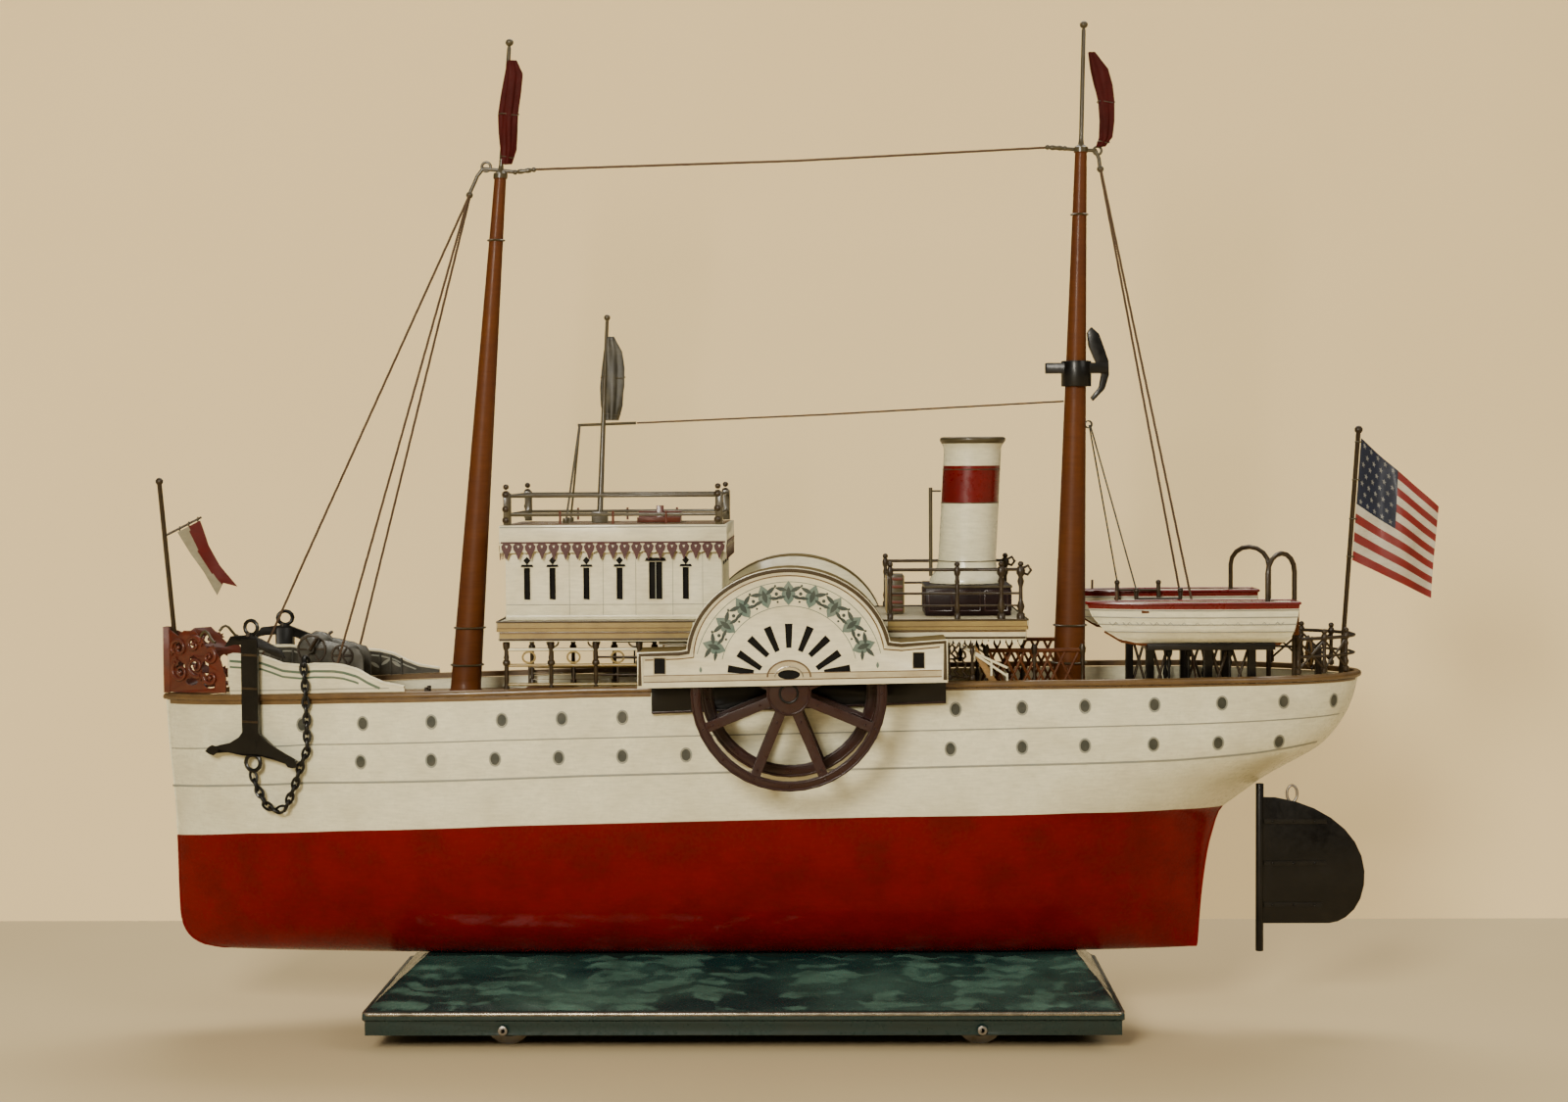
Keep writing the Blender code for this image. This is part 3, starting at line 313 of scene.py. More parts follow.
class Nodes:
    """Short way to lay down and join the nodes of one tree."""

    def __init__(self, tree):
        self.tree = tree

    def add(self, kind, **values):
        node = self.tree.nodes.new(kind)
        for key, value in values.items():
            if key.startswith("in_"):
                node.inputs[key[3:].replace("_", " ")].default_value = value
            else:
                setattr(node, key, value)
        return node

    def join(self, a, b):
        self.tree.links.new(a, b)

    def feed(self, socket, value):
        """A number, colour or vector is set on the socket; another node's output is joined to it."""
        if isinstance(value, (int, float, tuple)):
            socket.default_value = value
        elif value is not None:
            self.join(value, socket)

    def spot(self, name="Object"):
        return self.add("ShaderNodeTexCoord").outputs[name]

    def axes(self, place):
        """The three numbers of a vector."""
        split = self.add("ShaderNodeSeparateXYZ")
        self.join(place, split.inputs[0])
        return split.outputs

    def maths(self, operation, a, b=None, clamp=False):
        node = self.add("ShaderNodeMath", operation=operation, use_clamp=clamp)
        self.feed(node.inputs[0], a)
        self.feed(node.inputs[1], b)
        return node.outputs[0]

    def times(self, a, b):
        return self.maths("MULTIPLY", a, b)

    def plus(self, a, b):
        return self.maths("ADD", a, b)

    def less(self, a, b):
        return self.maths("SUBTRACT", a, b)

    def mix(self, factor, a, b, mode="MIX"):
        node = self.add("ShaderNodeMix", data_type="RGBA", blend_type=mode)
        for k, value in ((0, factor), (6, a), (7, b)):
            self.feed(node.inputs[k], value)
        return node.outputs[2]

    def span(self, value, low, high, out_low=0, out_high=1):
        node = self.add("ShaderNodeMapRange")
        for socket, given in zip(node.inputs, (value, low, high, out_low, out_high)):
            self.feed(socket, given)
        return node.outputs[0]

    def noise(self, place, scale, detail, rough=0.55, stretch=None):
        if stretch:
            lay = self.add("ShaderNodeMapping", in_Scale=stretch)
            self.join(place, lay.inputs["Vector"])
            place = lay.outputs[0]
        node = self.add("ShaderNodeTexNoise", in_Detail=detail, in_Roughness=rough)
        self.feed(node.inputs["Scale"], scale)
        self.join(place, node.inputs["Vector"])
        return node.outputs["Fac"]


def rgba(colour):
    return (*colour, 1)


def new_group(name, colours, numbers, outputs):
    """A node group with named colours and numbers going in, and colours (True) or numbers coming out."""
    tree = bpy.data.node_groups.new(name, "ShaderNodeTree")
    kinds = {True: "NodeSocketColor", False: "NodeSocketFloat"}
    for given, colour in ((colours, True), (numbers, False)):
        for label, value in given.items():
            socket = tree.interface.new_socket(name=label, in_out="INPUT", socket_type=kinds[colour])
            socket.default_value = rgba(value) if colour else value
    for label, colour in outputs.items():
        tree.interface.new_socket(name=label, in_out="OUTPUT", socket_type=kinds[colour])
    n = Nodes(tree)
    return n, n.add("NodeGroupInput").outputs, n.add("NodeGroupOutput").inputs


def make_aged_enamel():
    """Old brushed enamel on tin: uneven tone, yellowed patches, chips to the metal, grime."""
    n, given, out = new_group(
        "aged_enamel", {"Paint": (0.7, 0.7, 0.6), "Under": (0.1, 0.06, 0.03), "Yellowing": (0.5, 0.4, 0.2)},
        {"Age": 0.3, "Chips": 0.3, "Grain": 60, "Shine": 0.3},
        {"Colour": True, "Roughness": False, "Metal": False, "Height": False})
    place = n.spot()
    clouds = n.noise(place, given["Grain"], 5, 0.6)
    fine = n.noise(place, n.times(given["Grain"], 9), 4, 0.6)
    brush = n.noise(place, n.times(given["Grain"], 3), 3, 0.5, (1, 1, 6))
    tone = n.span(clouds, 0.38, 0.68)
    aged = n.mix(n.times(tone, given["Age"]), given["Paint"], given["Yellowing"])
    streak = n.span(brush, 0.3, 0.7, 0.9, 1.06)
    aged = n.mix(1, aged, streak, "MULTIPLY")
    edge = n.plus(n.times(clouds, 0.45), n.times(fine, 0.55))
    limit = n.span(given["Chips"], 0, 1, 0.76, 0.56)
    chip = n.maths("MULTIPLY", n.less(edge, limit), 60, clamp=True)
    n.join(n.mix(chip, aged, given["Under"]), out["Colour"])
    rough = n.plus(given["Shine"], n.span(fine, 0.3, 0.7, -0.06, 0.12))
    rough = n.plus(rough, n.times(chip, 0.25))
    n.join(n.maths("ADD", rough, n.span(clouds, 0.4, 0.7, 0, 0.1), clamp=True), out["Roughness"])
    n.join(n.times(chip, 0.35), out["Metal"])
    height = n.plus(n.times(fine, 0.35), n.times(brush, 0.3))
    n.join(n.less(height, n.times(chip, 0.6)), out["Height"])
    return n.tree


def make_wave_strokes():
    """Rows of lighter strokes of uneven length, painted like ripples on a dark ground."""
    n, given, out = new_group("wave_strokes", {"Sea": (0.01, 0.05, 0.05), "Crest": (0.2, 0.3, 0.25)},
                              {"Length": 60, "Row": 260}, {"Colour": True, "Height": False})
    place = n.spot()
    x, y, z = n.axes(place)
    drift = n.times(n.less(n.noise(place, 38, 2), 0.5), 3.2)
    across = n.plus(n.maths("ABSOLUTE", y), n.times(z, -0.6))
    row = n.plus(n.times(across, given["Row"]), drift)
    line = n.maths("FLOOR", row)
    shift = n.maths("FRACT", n.times(n.maths("SINE", n.times(line, 12.9)), 43.7))
    along = n.plus(n.times(x, given["Length"]), n.times(shift, 3))
    wander = n.times(n.less(n.noise(place, 55, 2), 0.5), 1.7)
    along = n.plus(along, wander)
    u, v = [n.maths("ABSOLUTE", n.less(n.maths("FRACT", part), 0.5)) for part in (along, row)]
    bend = n.times(n.less(n.noise(place, 110, 3, 0.5, (0.35, 1, 1)), 0.5), 1.6)
    lozenge = n.less(0.44, n.plus(n.times(u, 0.95), n.times(v, 0.8)))
    stroke = n.maths("MULTIPLY", n.plus(lozenge, bend), 4.5, clamp=True)
    brushed = n.span(n.noise(place, 260, 3, 0.6, (0.25, 1, 1)), 0.3, 0.7, 0.35, 1)
    mask = n.times(stroke, brushed)
    swell = n.span(n.noise(place, 34, 3, 0.5, (0.45, 1, 1)), 0.42, 0.66)
    deep = n.mix(n.times(swell, 0.45), given["Sea"], given["Crest"])
    n.join(n.mix(mask, deep, given["Crest"]), out["Colour"])
    n.join(mask, out["Height"])
    return n.tree


AGED = make_aged_enamel()
WAVES = make_wave_strokes()


def enamel(name, paint, yellow, under=(0.06, 0.035, 0.02), age=0.6, chips=0.3, grain=60, shine=0.28,
           coat=0.3, bump=0.25, metal=0, gloss=0.4):
    """A painted finish: the shared aged enamel with this paint's own values."""
    mat = bpy.data.materials.new(name)
    mat.use_nodes = True
    n = Nodes(mat.node_tree)
    shader = mat.node_tree.nodes["Principled BSDF"]
    aged = n.add("ShaderNodeGroup", node_tree=AGED, in_Paint=rgba(paint), in_Under=rgba(under),
                 in_Yellowing=rgba(yellow), in_Age=age, in_Chips=chips, in_Grain=grain, in_Shine=shine)
    n.join(aged.outputs["Colour"], shader.inputs["Base Color"])
    n.join(aged.outputs["Roughness"], shader.inputs["Roughness"])
    n.feed(shader.inputs["Metallic"], metal or aged.outputs["Metal"])
    relief = n.add("ShaderNodeBump", in_Strength=bump, in_Distance=0.0003)
    n.join(aged.outputs["Height"], relief.inputs["Height"])
    n.join(relief.outputs[0], shader.inputs["Normal"])
    for socket, value in (("Coat Weight", coat), ("Specular IOR Level", gloss), ("Coat Roughness", 0.12)):
        shader.inputs[socket].default_value = value
    return mat


def wave_paint():
    """The stand's waves: aged enamel whose paint comes from the wave strokes."""
    mat = enamel("wave_enamel", (0.012, 0.04, 0.04), (0.00744, 0.0208, 0.0144), age=0.35, chips=0.15, shine=0.22,
                 coat=0.5, bump=0.5)
    n = Nodes(mat.node_tree)
    nodes = mat.node_tree.nodes
    waves = n.add("ShaderNodeGroup", node_tree=WAVES, in_Sea=rgba((0.006, 0.024, 0.024)),
                  in_Crest=rgba((0.076, 0.155, 0.12)), in_Length=30, in_Row=115)
    aged, relief = nodes["Group"], nodes["Bump"]
    n.join(waves.outputs["Colour"], aged.inputs["Paint"])
    n.join(n.plus(aged.outputs["Height"], n.times(waves.outputs["Height"], 0.8)), relief.inputs["Height"])
    return mat


# each finish: paint, its yellowed tone, and the metal or primer that chips show
WHITE = enamel("hull_white", (0.72, 0.69, 0.49), (0.40, 0.34, 0.2), age=0.3, chips=0.1, shine=0.24)
CREAM = enamel("cabin_cream", (0.7, 0.65, 0.45), (0.4, 0.33, 0.19), age=0.4, chips=0.2, shine=0.3)
RED = enamel("hull_red", (0.14, 0.0007, 0.0005), (0.06, 0.0006, 0.0004), age=0.5, chips=0.1, shine=0.2,
             coat=0.14, bump=0.12, gloss=0.06)
BAND_RED = enamel("band_red", (0.12, 0.002, 0.002), (0.06, 0.002, 0.0015), age=0.35, chips=0.2, shine=0.25,
                  coat=0.2, gloss=0.3)
MAROON = enamel("wheel_maroon", (0.02, 0.0026, 0.0016), (0.009, 0.0018, 0.001), age=0.35, chips=0.25, shine=0.3,
                coat=0.2, gloss=0.3)
BLACK = enamel("iron_black", (0.0022, 0.002, 0.0018), (0.011, 0.009, 0.006), (0.06, 0.045, 0.03), age=0.5,
               shine=0.34, coat=0.12, gloss=0.25)
BROWN = enamel("mast_brown", (0.1, 0.031, 0.007), (0.07, 0.022, 0.01), (0.3, 0.24, 0.15), chips=0.14, shine=0.38,
               grain=45, coat=0.06, gloss=0.12)
SCROLL = enamel("scroll_brown", (0.1, 0.016, 0.006), (0.05, 0.014, 0.008), (0.35, 0.27, 0.18), age=0.7,
                chips=0.35, shine=0.34, grain=120)
OLIVE = enamel("rail_olive", (0.055, 0.042, 0.016), (0.03, 0.02, 0.01), (0.22, 0.17, 0.09), age=0.5, shine=0.36,
               grain=120)
OCHRE = enamel("trim_ochre", (0.25, 0.145, 0.045), (0.12, 0.06, 0.02), (0.1, 0.06, 0.03), shine=0.3, grain=110)
DARK_OCHRE = enamel("moulding_brown", (0.13, 0.075, 0.026), (0.06, 0.03, 0.012), (0.3, 0.24, 0.16), chips=0.28,
                    shine=0.3, grain=110)
GREY_LINE = enamel("line_grey", (0.24, 0.25, 0.21), (0.3, 0.27, 0.18), chips=0.45, shine=0.4, coat=0,
                   grain=150)
PORT_DARK = enamel("port_dark", (0.03, 0.034, 0.026), (0.09, 0.085, 0.06), (0.2, 0.19, 0.15), shine=0.4,
                   coat=0, grain=200)
GREEN_LINE = enamel("line_green", (0.08, 0.125, 0.085), (0.16, 0.16, 0.1), age=0.5, chips=0.4, shine=0.4,
                    coat=0, grain=150)
TEAL_LEAF = enamel("garland_teal", (0.08, 0.13, 0.105), (0.18, 0.2, 0.15), chips=0.35, shine=0.4, coat=0,
                   grain=200)
DARK_LEAF = enamel("garland_dark", (0.018, 0.03, 0.022), (0.06, 0.07, 0.05), (0.3, 0.3, 0.24), age=0.5,
                   shine=0.4, coat=0, grain=200)
# Dark of the painted windows and marks, also used as painted shade inside the cabin.
WINDOW_DARK_AND_SHADE = enamel("window_dark_and_shade", (0.005, 0.0044, 0.0034), (0.0031, 0.002288, 0.001224), (0.04, 0.034, 0.024),
                    age=0.4, chips=0.2, shine=0.6, coat=0.03, gloss=0.1, grain=90)
SEA = wave_paint()
SKIRT = enamel("skirt_teal", (0.008, 0.024, 0.022), (0.015, 0.02, 0.014), (0.14, 0.11, 0.07), age=0.5, shine=0.26)
BEAD = enamel("bead_bright", (0.42, 0.38, 0.3), (0.13, 0.11, 0.08), (0.07, 0.05, 0.03), age=0.8, chips=0.4,
              shine=0.26, metal=0.9, grain=140)
STEEL = enamel("axle_steel", (0.3, 0.28, 0.25), (0.14, 0.1, 0.06), (0.1, 0.05, 0.02), age=0.7, shine=0.35,
               metal=0.85, grain=150)
CORD = enamel("stay_cord", (0.075, 0.042, 0.022), (0.08, 0.045, 0.02), (0.28, 0.2, 0.12), age=0.7, chips=0.5,
              shine=0.7, coat=0, grain=400, bump=0.6)
FLAG_RED = enamel("flag_red", (0.18, 0.009, 0.006), (0.1, 0.008, 0.005), age=0.5, chips=0.25, shine=0.5,
                  coat=0.05, grain=130)
FLAG_WHITE = enamel("flag_white", (0.5, 0.46, 0.36), (0.33, 0.27, 0.17), chips=0.2, shine=0.5, coat=0.05,
                    grain=130)
FLAG_BLUE = enamel("flag_blue", (0.004, 0.008, 0.027), (0.006, 0.008, 0.012), age=0.5, chips=0.25, shine=0.5,
                   coat=0.05, grain=130)
FLAG_MAROON = enamel("flag_maroon", (0.05, 0.0035, 0.0025), (0.026, 0.003, 0.002), shine=0.6, coat=0,
                     gloss=0.12, grain=130)
PENNANT_RED = enamel("pennant_red", (0.085, 0.005, 0.0035), (0.045, 0.004, 0.003), shine=0.5, coat=0, gloss=0.2)
PENNANT_GREY = enamel("pennant_grey", (0.25, 0.225, 0.15), (0.13, 0.11, 0.06), age=0.7, shine=0.5, coat=0,
                      gloss=0.2)
POST_DARK = enamel("post_dark", (0.022, 0.013, 0.006), (0.05, 0.032, 0.012), (0.16, 0.12, 0.07), chips=0.35,
                   shine=0.36, coat=0.1, grain=140, gloss=0.3)
GOLD_OCHRE = enamel("fascia_ochre", (0.28, 0.2, 0.062), (0.19, 0.12, 0.035), (0.12, 0.08, 0.04), shine=0.32,
                    grain=110)
STAR_PALE = enamel("star_pale", (0.2, 0.2, 0.19), (0.1, 0.09, 0.08), shine=0.5, coat=0, grain=260)
BUFF = enamel("box_buff", (0.47, 0.4, 0.25), (0.3, 0.22, 0.1), age=0.55, chips=0.25, shine=0.3, grain=90)
SCALLOP = enamel("valance_red", (0.05, 0.003, 0.003), (0.022, 0.002, 0.002), age=0.5, shine=0.36, coat=0.1,
                 grain=160)
CASING_PLUM = enamel("casing_plum", (0.009, 0.0015, 0.0016), (0.005, 0.001, 0.001), age=0.35, chips=0.25,
                     shine=0.42, coat=0.04, gloss=0.18)
RIM_UMBER = enamel("rim_umber", (0.05, 0.032, 0.011), (0.025, 0.014, 0.005), (0.2, 0.15, 0.08), shine=0.36,
                   coat=0.05, gloss=0.25)
ROOF_OLIVE = enamel("roof_olive", (0.15, 0.11, 0.04), (0.09, 0.06, 0.02), (0.1, 0.07, 0.04), shine=0.75,
                    coat=0, gloss=0.05)
IRON_OLIVE = enamel("inside_olive", (0.022, 0.02, 0.013), (0.09, 0.08, 0.055), (0.2, 0.18, 0.12), chips=0.35,
                    shine=0.4, coat=0.05, grain=150)
DECK_TAN = enamel("deck_tan", (0.3, 0.2, 0.09), (0.16, 0.09, 0.04), shine=0.36, grain=80)

# ---------------------------------------------------------------- camera, light and floor

AIR_LOW = (0.018, 0.016, 0.013, 1)
AIR_HIGH = (0.5, 0.46, 0.37, 1)
WALL_GLOW_TINT = (1, 0.77, 0.40, 1)
AIR_SEEN = (0.90, 0.70, 0.38, 1)
FOCAL = 2380          # in pixels of the 1600 x 1125 frame
FRAME_WIDTH, EYE_COLUMN = 1600, 814
EYE_REACH, EYE_HEIGHT = 1, 0.240          # metres off the port side, metres above the keel's floor
WARM_LIGHT = (1, 0.94, 0.8)


def put(name, data):
    thing = bpy.data.objects.new(name, data)
    bpy.context.scene.collection.objects.link(thing)
    return thing


def set_camera():
    """Level eye at the promenade, a metre off the port side, as the picture was taken."""
    yaw, roll = math.radians(1.2), -0.006
    pitch = math.atan(92.5 / FOCAL)
    fwd = Vector((-math.sin(yaw) * math.cos(pitch), math.cos(yaw) * math.cos(pitch), -math.sin(pitch)))
    right = Vector((math.cos(yaw), math.sin(yaw), 0))
    up = right.cross(fwd)
    c, s = math.cos(roll), math.sin(roll)
    side, top = right * c + up * s, up * c - right * s
    data = bpy.data.cameras.new("studio_camera")
    data.sensor_width = 36
    data.lens = data.sensor_width * FOCAL / FRAME_WIDTH
    data.clip_start = 0.01
    cam = put("studio_camera", data)
    cam.matrix_world = Matrix((side, top, -fwd)).transposed().to_4x4()
    x = (FRAME_WIDTH / 2 - EYE_COLUMN) * EYE_REACH / FOCAL + EYE_REACH * math.sin(yaw) + X_SHIFT / 1000
    cam.location = (x, -EYE_REACH * math.cos(yaw), EYE_HEIGHT + LIFT / 1000)
    bpy.context.scene.camera = cam


def add_lamp(name, place, aim, size, power, tint=WARM_LIGHT):
    data = bpy.data.lights.new(name, "AREA")
    data.shape = "RECTANGLE"
    data.size, data.size_y = size
    data.energy = power
    data.color = tint
    lamp = put(name, data)
    lamp.location = place
    lamp.rotation_euler = (Vector(aim) - Vector(place)).to_track_quat("-Z", "Y").to_euler()


def soft_paint(name, low, high, glow):
    """Plain studio surface: two close tones in broad clouds with a faint grain."""
    mat = bpy.data.materials.new(name)
    mat.use_nodes = True
    n = Nodes(mat.node_tree)
    shader = mat.node_tree.nodes["Principled BSDF"]
    place = n.spot()
    n.join(n.mix(n.span(n.noise(place, 3, 3), 0.3, 0.7), rgba(low), rgba(high)), shader.inputs["Base Color"])
    for socket, value in (("Roughness", 0.8), ("Specular IOR Level", 0.2), ("Emission Strength", glow)):
        shader.inputs[socket].default_value = value
    grain = n.add("ShaderNodeBump", in_Strength=0.1, in_Distance=0.0005)
    n.join(n.noise(place, 160, 2), grain.inputs["Height"])
    n.join(grain.outputs[0], shader.inputs["Normal"])
    return mat, n, shader


def stage_sheet(name, corners, mat):
    bm = bmesh.new()
    bm.faces.new([bm.verts.new(c) for c in corners])
    mesh = bpy.data.meshes.new(name)
    bm.to_mesh(mesh)
    bm.free()
    mesh.materials.append(mat)
    sheet = put(name, mesh)
    return sheet


def set_air():
    """Dim warm air for the reflections, an even cream behind the picture."""
    world = bpy.data.worlds.new("studio_air")
    bpy.context.scene.world = world
    world.use_nodes = True
    n = Nodes(world.node_tree)
    sky = world.node_tree.nodes["Background"]
    seen = n.add("ShaderNodeLightPath").outputs["Is Camera Ray"]
    air = n.mix(n.span(n.axes(n.spot("Generated"))[2], 0.15, 0.9), AIR_LOW, AIR_HIGH)
    n.join(n.mix(seen, air, AIR_SEEN), sky.inputs["Color"])
    sky.inputs["Strength"].default_value = 1


def set_floor():
    """Pale table whose far part glows in the air's colour, painted light that fades it into the air far off."""
    paint, n, shader = soft_paint("pale_table", (0.58, 0.45, 0.26), (0.62, 0.49, 0.29), 0.8)
    away = n.add("ShaderNodeVectorMath", operation="LENGTH")
    n.join(n.spot(), away.inputs[0])
    # Painted light: the table glows more the farther it lies from the model.
    far_glow = n.span(away.outputs["Value"], 0.7, 3.2)
    n.join(n.mix(far_glow, (0, 0, 0, 1), AIR_SEEN), shader.inputs["Emission Color"])
    stage_sheet("studio_floor", ((-9, -9, 0), (9, -9, 0), (9, 9, 0), (-9, 9, 0)), paint)


def set_wall():
    """Cream wall behind, seen from the front only, which neither shades nor lights the model; it glows as painted
    light, brighter towards its foot.
    """
    paint, n, shader = soft_paint("cream_wall", (0.72, 0.55, 0.29), (0.76, 0.59, 0.32), 0.38)
    # Painted light: the wall glows more strongly near the floor than higher up.
    foot_glow = n.span(n.axes(n.spot())[2], 0, 0.5, 1, 0.62)
    n.join(n.mix(1, WALL_GLOW_TINT, foot_glow, "MULTIPLY"), shader.inputs["Emission Color"])
    both = n.add("ShaderNodeMixShader")
    for k, source in enumerate((n.add("ShaderNodeNewGeometry").outputs["Backfacing"], shader.outputs[0],
                                n.add("ShaderNodeBsdfTransparent").outputs[0])):
        n.join(source, both.inputs[k])
    n.join(both.outputs[0], paint.node_tree.nodes["Material Output"].inputs["Surface"])
    x, y, top = 3.5, 0.224, 2.4
    wall = stage_sheet("studio_wall", ((-x, y, 0), (x, y, 0), (x, y, top), (-x, y, top)), paint)
    wall.visible_shadow = wall.visible_diffuse = wall.visible_glossy = False


def set_studio():
    """Warm plain room: pale table, cream wall behind, one soft key from the upper right."""
    set_air()
    add_lamp("key_light", (-0.34, -1.2, 0.62), (0, 0, 0.16), (0.34, 0.34), 18)
    add_lamp("side_light", (1.1, -0.9, 0.95), (0, 0, 0.15), (0.7, 0.7), 6, (1, 0.96, 0.86))
    add_lamp("top_light", (0.1, 0.75, 1.45), (0, 0, 0.1), (1.5, 0.7), 19)
    set_floor()
    set_wall()


# ---------------------------------------------------------------- hull

SHEER = ((-280, 138), (-188, 142), (-86, 144.6), (60, 146.3), (172, 147.2), (245, 146.6))

# height, bow end, stern end, half breadth, stern sharpness
LEVELS = (
    (30.2, -250, 170.6, 11, 0.9), (31.6, -258, 171, 15.5, 0.9), (35.5, -264.5, 171.3, 22, 0.9),
    (42.5, -268, 171.8, 30, 0.9), (55, -268.9, 172.9, 37.5, 0.9), (72, -269.2, 175.3, 42, 0.88),
    (82, -269.5, 177.9, 43.6, 0.86), (90, -269.8, 181, 44.5, 0.84), (96, -270.1, 188.8, 45, 0.79),
    (103, -270.7, 198.6, 45.3, 0.71), (110.5, -271.4, 211.8, 45.6, 0.64), (117, -272, 222.6, 45.8, 0.58),
    (126, -272.6, 230.8, 46, 0.54), (136, -272.9, 236.3, 46, 0.53), (146, -273.2, 239, 46, 0.52),
)
SHEER_LEVEL = 126                     # above this height the levels follow the sheer
BOW_END, STERN_END, STERN_SHARP = -273.2, 239.5, 0.52          # of the deck edge
HULL_COLUMNS = 110

# where the red bottom meets the white sides
RED_LINE = ((-272, 79.3), (-234.6, 83.4), (-189.7, 86.7), (-121.4, 89.7), (-46, 91.4), (34.7, 93.1),
            (115.6, 93.9), (158.4, 92.6), (185, 90.6))


def sheer(x):
    return between(SHEER, x)


def red_line(x):
    return between(RED_LINE, x)


def half_breadth(x, x0, x1, b, sharp):
    """Half breadth of one level: full amidships, rounded in towards the bow and the stern."""
    width = b
    for s, bend, power in (((x - x0) / 150, 2.1, 0.82), ((x1 - x) / 120, 2.4, sharp)):
        if s < 1:
            width = min(width, b * (1 - (1 - max(0, s)) ** bend) ** power)
    return max(width, 0.9)


def deck_half(x, inset):
    return half_breadth(x, BOW_END + inset, STERN_END - inset, BEAM / 2 - inset, STERN_SHARP)


def level_at(z, top):
    """Ends, half breadth and sharpness at a height, eased between the drawn levels."""
    if z > SHEER_LEVEL:
        z = SHEER_LEVEL + 20 * min(1, (z - SHEER_LEVEL) / max(1, top - SHEER_LEVEL))
    k = 0
    while k < len(LEVELS) - 2 and z > LEVELS[k + 1][0]:
        k += 1
    a, b = LEVELS[k], LEVELS[k + 1]
    before, after = LEVELS[max(0, k - 1)], LEVELS[min(len(LEVELS) - 1, k + 2)]
    step = b[0] - a[0]
    t = min(1, max(0, (z - a[0]) / step))
    out = []
    for i in range(1, 5):
        rise = b[i] - a[i]
        sign = 1 if rise >= 0 else -1
        slopes = ((b[i] - before[i]) / (b[0] - before[0]), (after[i] - a[i]) / (after[0] - a[0]))
        d0, d1 = [sign * min(max(0, d * step * sign), 3 * abs(rise)) for d in slopes]
        h = (2 * t ** 3 - 3 * t ** 2 + 1) * a[i] + (t ** 3 - 2 * t ** 2 + t) * d0
        out.append(h + (-2 * t ** 3 + 3 * t ** 2) * b[i] + (t ** 3 - t ** 2) * d1)
    return out


def hull_y(x, z, out):
    """Half breadth of the hull's skin at a point of its side view, plus a stand-off."""
    return half_breadth(x, *level_at(z, sheer(x))) + out


def hull_lay(side, lift=0):
    return lambda u, v, h: (u, side * hull_y(u, v, h + lift), v)


def deck_lay(side, inset, lift, out=1):
    """Lay that follows the deck edge, outwards (1) or inwards (-1)."""
    return lambda u, v, h: (u, side * (deck_half(u, inset) + out * (lift + h)), v)


def hull_row(low, high, t):
    """One row of the hull's port side, a share t of the way between two height tables."""
    row = []
    for k in range(HULL_COLUMNS + 1):
        s = crowd(k / HULL_COLUMNS)
        x = -270 + 480 * s
        for _ in range(12):
            a, b = low(x), high(x)
            z = a + (b - a) * t
            x0, x1, breadth, sharp = level_at(z, sheer(x))
            x = 0.4 * x + 0.6 * (x0 + (x1 - x0) * s)
        row.append((x, half_breadth(x, x0, x1, breadth, sharp), z))
    return row


def ring_of(row):
    port = [(x, -y, z) for x, y, z in row]
    return port + row[::-1]


def build_hull():
    """Pressed hull: red bottom, white sides, rolled top edge and the well down to the deck."""
    hull = Tinwork("hull_shell", WHITE)
    shares = (0, 0.012, 0.03, 0.055, 0.085, 0.12, 0.16, 0.21, 0.27, 0.34, 0.42, 0.5, 0.58, 0.66, 0.74, 0.82, 0.9,
              0.96, 1)
    low = hull.skin([ring_of(hull_row(lambda x: KEEL_Z, red_line, t)) for t in shares], RED, wrap=True)[0]
    for k in range(HULL_COLUMNS):
        hull.face((low[k], low[k + 1], low[-2 - k], low[-1 - k]), RED)
    sides = [hull_row(red_line, sheer, k / 26) for k in range(27)]
    rim = [(min(max(x, -270.2), 236.4), max(0.5, y - 1.2), z) for x, y, z in sides[-1]]
    inner = [(min(x, 234.4), y) for x, y, _ in rim]
    well = [(x, max(0.5, min(y, hull_y(x, DECK_Z, -0.7))), DECK_Z) for x, y in inner]
    hull.skin([ring_of(r) for r in sides + [rim, well]], wrap=True)
    hull.done(stands_for=("hull",), slot="white_enamel", weld=0.01)


UPPER_PORTS = ((-206.8, 130.9), (-180, 132.1), (-150.8, 133.1), (-121.5, 133.8), (-96.8, 134.3), (-71.8, 134.8),
               (65, 137.6), (92.2, 138.1), (117.9, 138.7), (146.4, 139.1), (174.5, 139.3), (201.2, 139.1),
               (224.6, 138.1))
LOWER_PORTS = ((-181.2, 116), (-151.1, 117.1), (-124.5, 117.7), (-98.2, 118.2), (-72, 118.7), (-45.7, 119.2),
               (62.9, 121.3), (92.2, 121.9), (117.9, 122.4), (146.1, 122.7), (173.3, 122.6), (200.1, 121.9))
UPPER_LINE = ((-271, 117.3), (-201.7, 122.8), (-126.5, 125.4), (-45.7, 127), (69, 129.2), (135.1, 130.5),
              (197.1, 131.4), (231, 131.8))
LOWER_LINE = ((-271, 101), (-202.1, 106.7), (-86.2, 110.6), (91, 114.5), (155.7, 115.8), (189.6, 117.4),
              (219, 120))
COUNTER_X = 210                       # ports aft of this sit on the round of the counter


